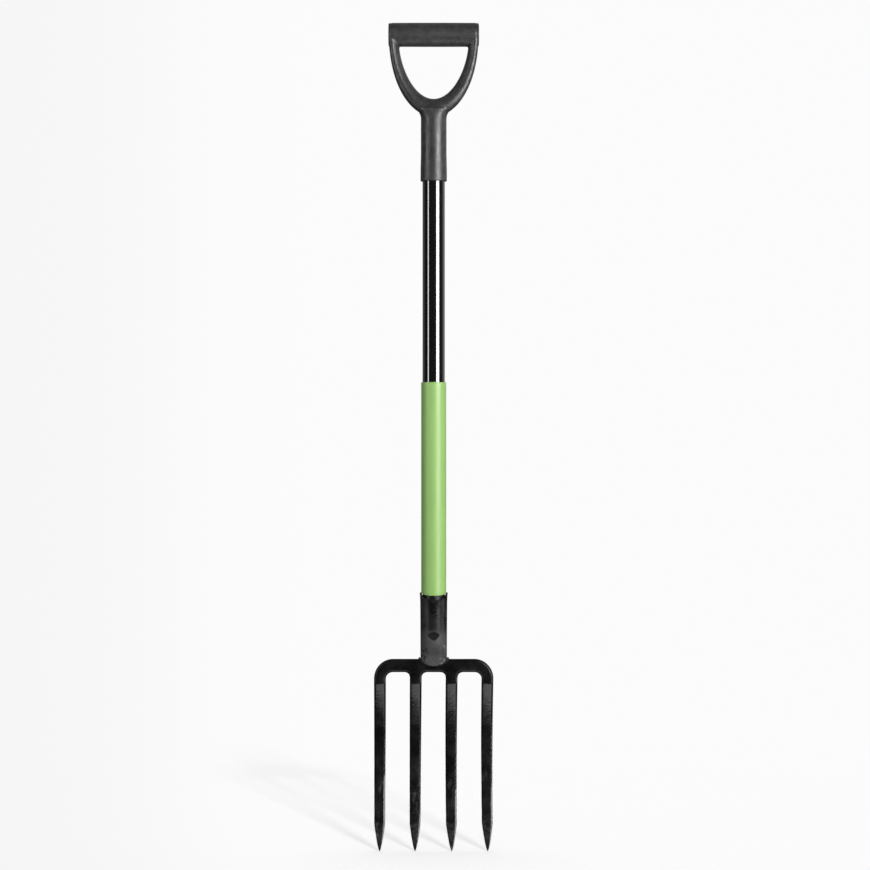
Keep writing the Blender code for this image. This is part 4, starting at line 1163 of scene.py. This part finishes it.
DISC_LINE_SKIN = (GRIP_RADIUS - 0.0016, GRIP_RADIUS + 0.0010)
WINDOW_BOTTOM = BORE_TOP + HANDLE_FLOOR
YOKE_BOTTOM = WINDOW_BOTTOM - YOKE_FLOOR
GRIP_AXIS = WINDOW_BOTTOM + WINDOW_HEIGHT + GRIP_RADIUS
YOKE_HALF_WIDTH = WINDOW_HALF_WIDTH + ARM_WIDTH
HANDLE_DARK = (0.018, 0.018, 0.019, 1.0)
HANDLE_PALE = (0.031, 0.031, 0.032, 1.0)
HANDLE_WORN = (0.060, 0.060, 0.060, 1.0)
HANDLE_RUBBED = (0.085, 0.085, 0.085, 1.0)


def quarter_curve(half_width, drop, power):
    """(x, z) down a quarter of |x / a|^2 + |z / b|^power = 1, from its side to its lowest point."""
    angle = np.linspace(0.0, math.pi / 2, 900)
    return np.stack([half_width * np.cos(angle), -drop * np.sin(angle) ** (2.0 / power)], axis=1)


def arm_sections(width, ridge_depth, ridge):
    """(distance from the window, depth) round an arm: outwards in front, then inwards behind.

    The arm is deepest at its ridge, falls away by a power of the distance from it on both sides,
    and has rounded edges. Each input is a column with one row for each ring.
    """
    corner = 1.0 - np.cos(np.radians(np.linspace(0.0, 90.0, 8)))
    near = np.broadcast_to(ARM_INNER_EDGE * corner, (len(width), len(corner)))
    far = width - ARM_OUTER_EDGE * corner[::-1]
    between = np.linspace(0.0, 1.0, 20)[1:-1]
    middle = ARM_INNER_EDGE + (width - ARM_OUTER_EDGE - ARM_INNER_EDGE) * between
    reach = np.concatenate([near, middle, far], axis=1)
    inwards = np.clip((ridge - reach) / ridge, 0.0, 1.0) ** 1.5
    outwards = np.clip((reach - ridge) / (width - ridge), 0.0, 1.0) ** 2.0
    depth = ridge_depth - ARM_INNER_FALL * inwards - ARM_OUTER_FALL * outwards
    into_near = np.clip(1.0 - reach / ARM_INNER_EDGE, 0.0, 1.0)
    into_far = np.clip(1.0 - (width - reach) / ARM_OUTER_EDGE, 0.0, 1.0)
    depth = depth - ARM_INNER_EDGE * (1.0 - np.sqrt(1.0 - into_near**2))
    depth = depth - ARM_OUTER_EDGE * (1.0 - np.sqrt(1.0 - into_far**2))
    reach = np.concatenate([reach, reach[:, ::-1]], axis=1)
    return reach, np.concatenate([-depth, depth[:, ::-1]], axis=1)


def yoke_mesh():
    """The yoke, from inside the right end of the grip bar, below the window, to its left end."""
    window_centre = GRIP_AXIS - GRIP_RADIUS + WINDOW_RISE
    yoke_centre = GRIP_AXIS + YOKE_RISE
    window = quarter_curve(WINDOW_HALF_WIDTH, window_centre - WINDOW_BOTTOM, WINDOW_CURVE)
    outline = quarter_curve(YOKE_HALF_WIDTH - END_DISC_PROUD, yoke_centre - YOKE_BOTTOM, YOKE_CURVE)
    window[:, 1] += window_centre
    outline[:, 1] += yoke_centre
    arm_top = GRIP_AXIS - ARM_TOP_DROP
    window = np.vstack([[WINDOW_HALF_WIDTH, arm_top], window])
    outline = outline[outline[:, 1] <= arm_top]
    count = 110
    window, outline = evenly_along(window, count), evenly_along(outline, count)
    down = np.linspace(0.0, 1.0, count)[:, None]
    width = np.linalg.norm(outline - window, axis=1, keepdims=True)
    outwards = (outline - window) / width
    ridge_depth = ARM_RIDGE_DEPTH - ARM_WAIST * np.sin(math.pi * down)
    eased = down * down * (3.0 - 2.0 * down)
    inset = RIDGE_INSET_AT_GRIP + (RIDGE_INSET_AT_COLLAR - RIDGE_INSET_AT_GRIP) * eased
    reach, depth = arm_sections(width, ridge_depth, width - inset)
    x, z = window[:, :1] + outwards[:, :1] * reach, window[:, 1:] + outwards[:, 1:] * reach
    rings = np.stack([x, depth, z], axis=2)
    return loft("yoke", np.concatenate([rings, rings[-2::-1] * (-1.0, 1.0, 1.0)]))


def grip_profile():
    """The grip bar's section: slightly barrelled outside, cored from both ends, with plug seats."""
    half_length = YOKE_HALF_WIDTH
    seat_radius, seat_floor = PLUG_RADIUS + CLEARANCE, half_length - PLUG_THICKNESS - CLEARANCE
    core_radius, core_floor = SPIGOT_RADIUS + CLEARANCE, CORE_WEB / 2
    core = [(0.0, core_floor), (core_radius, core_floor), (core_radius, seat_floor)]
    core += [(seat_radius, seat_floor), (seat_radius, half_length)]
    corner = np.radians(np.linspace(0.0, 90.0, 9))
    radius = GRIP_RADIUS - GRIP_WAIST - GRIP_EDGE * (1.0 - np.sin(corner))
    height = half_length - GRIP_EDGE * (1.0 - np.cos(corner))
    top = core + list(zip(radius, height))
    between = np.linspace(height[-1], 0.0, 40)[1:]
    barrel = GRIP_RADIUS - GRIP_WAIST * (between / height[-1]) ** 2
    top += list(zip(barrel, between))
    return top[:-1] + [(GRIP_RADIUS, 0.0)] + [(r, -h) for r, h in top[-2::-1]]


def collar_mesh():
    """The collar: straight below, flared sideways and squarer at the yoke, and domed above."""
    taper_start = COLLAR_BOTTOM + COLLAR_MOUTH_LENGTH
    fillet_start = YOKE_BOTTOM - COLLAR_FILLET_DROP
    fillet_end = BORE_TOP + COLLAR_ROOF
    up = np.linspace(0.0, 1.0, 24)
    mouth = COLLAR_MOUTH_RADIUS
    straight = [mouth - COLLAR_MOUTH_CHAMFER, mouth, mouth, COLLAR_RADIUS]
    dome = np.radians(np.linspace(10.0, 80.0, 8))
    inset = COLLAR_DOME * (1.0 - np.cos(dome))
    top_width = COLLAR_RADIUS + COLLAR_FLARE
    widths = [straight, COLLAR_RADIUS + COLLAR_FLARE * up**2.2, top_width - inset]
    depths = [straight, np.full(len(up), COLLAR_RADIUS), COLLAR_RADIUS - inset]
    heights = [
        [COLLAR_BOTTOM, COLLAR_BOTTOM + COLLAR_MOUTH_CHAMFER],
        [taper_start, taper_start + COLLAR_TAPER_LENGTH],
        fillet_start + (fillet_end - fillet_start) * up,
        fillet_end + COLLAR_DOME * np.sin(dome),
    ]
    squarer = np.concatenate([np.zeros(len(straight)), up, np.ones(len(dome))])
    squareness = 2.0 + (COLLAR_TOP_SQUARENESS - 2.0) * squarer
    widths, depths, heights = (np.concatenate(parts) for parts in (widths, depths, heights))
    return loft("collar", oval_rings(widths, depths, heights, squareness, 96))


grip_middle = (0.0, 0.0, GRIP_AXIS)
reach = 2 * YOKE_HALF_WIDTH
core_rod = rod_mesh("core_rod", ARM_END_RADIUS, reach, -reach, 48, grip_middle, "X")
bore_rod = rod_mesh("bore_rod", BORE_RADIUS, BORE_TOP, COLLAR_BOTTOM - BORE_ROD_PAST, 96)
handle_mesh = carve(
    yoke_mesh(),
    ("DIFFERENCE", core_rod),
    ("UNION", turned_mesh("grip_bar", grip_profile(), 96, grip_middle, "X")),
    ("UNION", collar_mesh()),
    ("DIFFERENCE", bore_rod),
    ("DIFFERENCE", screw_hole_mesh()),
)
handle = add_object("d_handle_moulded", handle_mesh)
remesh = handle.modifiers.new("even_skin", "REMESH")
remesh.mode = "VOXEL"
remesh.voxel_size = HANDLE_VOXEL
soften = handle.modifiers.new("soft_edges", "SMOOTH")
soften.factor = 0.5
soften.iterations = HANDLE_SOFTENING
handle_mesh = finished(handle)

# A fine line is sunk round the bar beside each end disc, in its skin only.
points = np.empty(3 * len(handle_mesh.vertices))
handle_mesh.vertices.foreach_get("co", points)
points = points.reshape(-1, 3)
from_axis = points - grip_middle
from_axis[:, 0] = 0.0
away = np.linalg.norm(from_axis, axis=1, keepdims=True)
from_line = np.abs(np.abs(points[:, :1]) - DISC_LINE_AT) / DISC_LINE_HALF_WIDTH
in_skin = (away > DISC_LINE_SKIN[0]) & (away < DISC_LINE_SKIN[1])
sunk = DISC_LINE_DEPTH * np.clip(1.0 - from_line, 0.0, 1.0) * in_skin
points -= from_axis / np.maximum(away, 0.001) * sunk
handle_mesh.vertices.foreach_set("co", points.ravel())
handle_mesh.shade_smooth()

handle_plastic, tree, out = empty_material("handle_plastic")
place = object_place(tree)
surface = add_group(tree, moulded_grain, {"Grain Scale": 1800.0, "Flow Scale": 35.0})
colour = mix_colour(tree, surface["Flow"], HANDLE_DARK, HANDLE_PALE)
worn = add_ramp(tree, noise(tree, place, 150.0, 4.0, 0.7), 0.36, 0.66)
colour = mix_colour(tree, multiply(tree, worn, 0.6), colour, HANDLE_WORN)
sizes = {"Patch Scale": 40.0, "Grain Scale": 900.0, "Amount": 0.3}
rubs = multiply(tree, add_group(tree, chipped, sizes)["Mask"], 0.5)
colour = mix_colour(tree, rubs, colour, HANDLE_RUBBED)
relief = add_math(tree, "MULTIPLY_ADD", worn, 0.9, surface["Height"])
dull = add_ramp(tree, surface["Flow"], 0.3, 0.7, 0.37, 0.45, "LINEAR")
dull = add_math(tree, "MULTIPLY_ADD", worn, -0.08, dull)
normal = add_bump(tree, relief, 0.35, 0.0003)
add_principled(tree, out, colour, dull, normal, {"Specular IOR Level": 0.72})
add_piece("d_handle_moulded", handle_mesh, handle_plastic, "charcoal_plastic", "d_handle")


# End plugs: a disc with a spigot, moulded from the handle's plastic and pressed into each end of
# the grip bar, flush with it. The middle of the disc is a shallow dish.

PLUG_EDGE = 0.0004
PLUG_DISH = 0.0004
DISH_RADIUS = 0.55 * PLUG_RADIUS
DISH_RIM_RADIUS = 0.60 * PLUG_RADIUS
SPIGOT_LENGTH = 0.0100

plug_profile = [
    (0.0, -PLUG_DISH),
    (DISH_RADIUS, -PLUG_DISH),
    (DISH_RIM_RADIUS, 0.0),
    (PLUG_RADIUS - PLUG_EDGE, 0.0),
    (PLUG_RADIUS, -PLUG_EDGE),
    (PLUG_RADIUS, -PLUG_THICKNESS),
    (SPIGOT_RADIUS, -PLUG_THICKNESS),
    (SPIGOT_RADIUS, PLUG_EDGE - SPIGOT_LENGTH),
    (SPIGOT_RADIUS - PLUG_EDGE, -SPIGOT_LENGTH),
    (0.0, -SPIGOT_LENGTH),
]
turned_round = [(radius, -height) for radius, height in plug_profile[::-1]]
for side, end, profile in (
    ("left", -YOKE_HALF_WIDTH, turned_round),
    ("right", YOKE_HALF_WIDTH, plug_profile),
):
    node = "grip_end_plug_" + side
    mesh = turned_mesh(node + "_moulded", profile, 72, (end, 0.0, GRIP_AXIS), "X")
    add_piece(node + "_moulded", mesh, handle_plastic, "charcoal_plastic", node)


# Handle screw: a zinc-plated pan-head screw with a cross recess, driven through the back of the
# collar into the shaft.

SCREW_LENGTH = 0.0080
SCREW_POINT = 0.0025
SCREW_HEAD_RADIUS = 0.0034
SCREW_HEAD_HEIGHT = 0.0014
RECESS_WIDTH = 0.0007
RECESS_REACH = 0.0036
ZINC_DARK = (0.50, 0.51, 0.53, 1.0)
ZINC_PALE = (0.68, 0.69, 0.70, 1.0)

dome = np.radians(np.linspace(0.0, 90.0, 12))
profile = list(zip(SCREW_HEAD_RADIUS * np.sin(dome), SCREW_HEAD_HEIGHT * np.cos(dome)))
profile += [(SCREW_RADIUS, 0.0), (SCREW_RADIUS, SCREW_POINT - SCREW_LENGTH), (0.0, -SCREW_LENGTH)]
seat = (0.0, COLLAR_RADIUS + CLEARANCE, SCREW_AT)
screw_mesh = turned_mesh("handle_screw_plated", profile, 48, seat, "Y")
recess_at = (0.0, seat[1] + SCREW_HEAD_HEIGHT, seat[2])
flat = box_mesh("recess_flat", (RECESS_REACH, 2 * RECESS_WIDTH, RECESS_WIDTH), recess_at)
upright = (RECESS_WIDTH, 2 * RECESS_WIDTH, RECESS_REACH)
upright = box_mesh("recess_upright", upright, recess_at)
screw_mesh = carve(screw_mesh, ("DIFFERENCE", flat), ("DIFFERENCE", upright))

zinc_plate, tree, out = empty_material("zinc_plate")
blotches = noise(tree, object_place(tree), 900.0)
colour = mix_colour(tree, blotches, ZINC_DARK, ZINC_PALE)
dull = add_ramp(tree, blotches, 0.3, 0.7, 0.28, 0.42, "LINEAR")
normal = add_bump(tree, blotches, 0.2, 0.0001)
add_principled(tree, out, colour, dull, normal, {"Metallic": 1.0})
add_piece("handle_screw_plated", screw_mesh, zinc_plate, "zinc_plated_steel", "handle_screw")
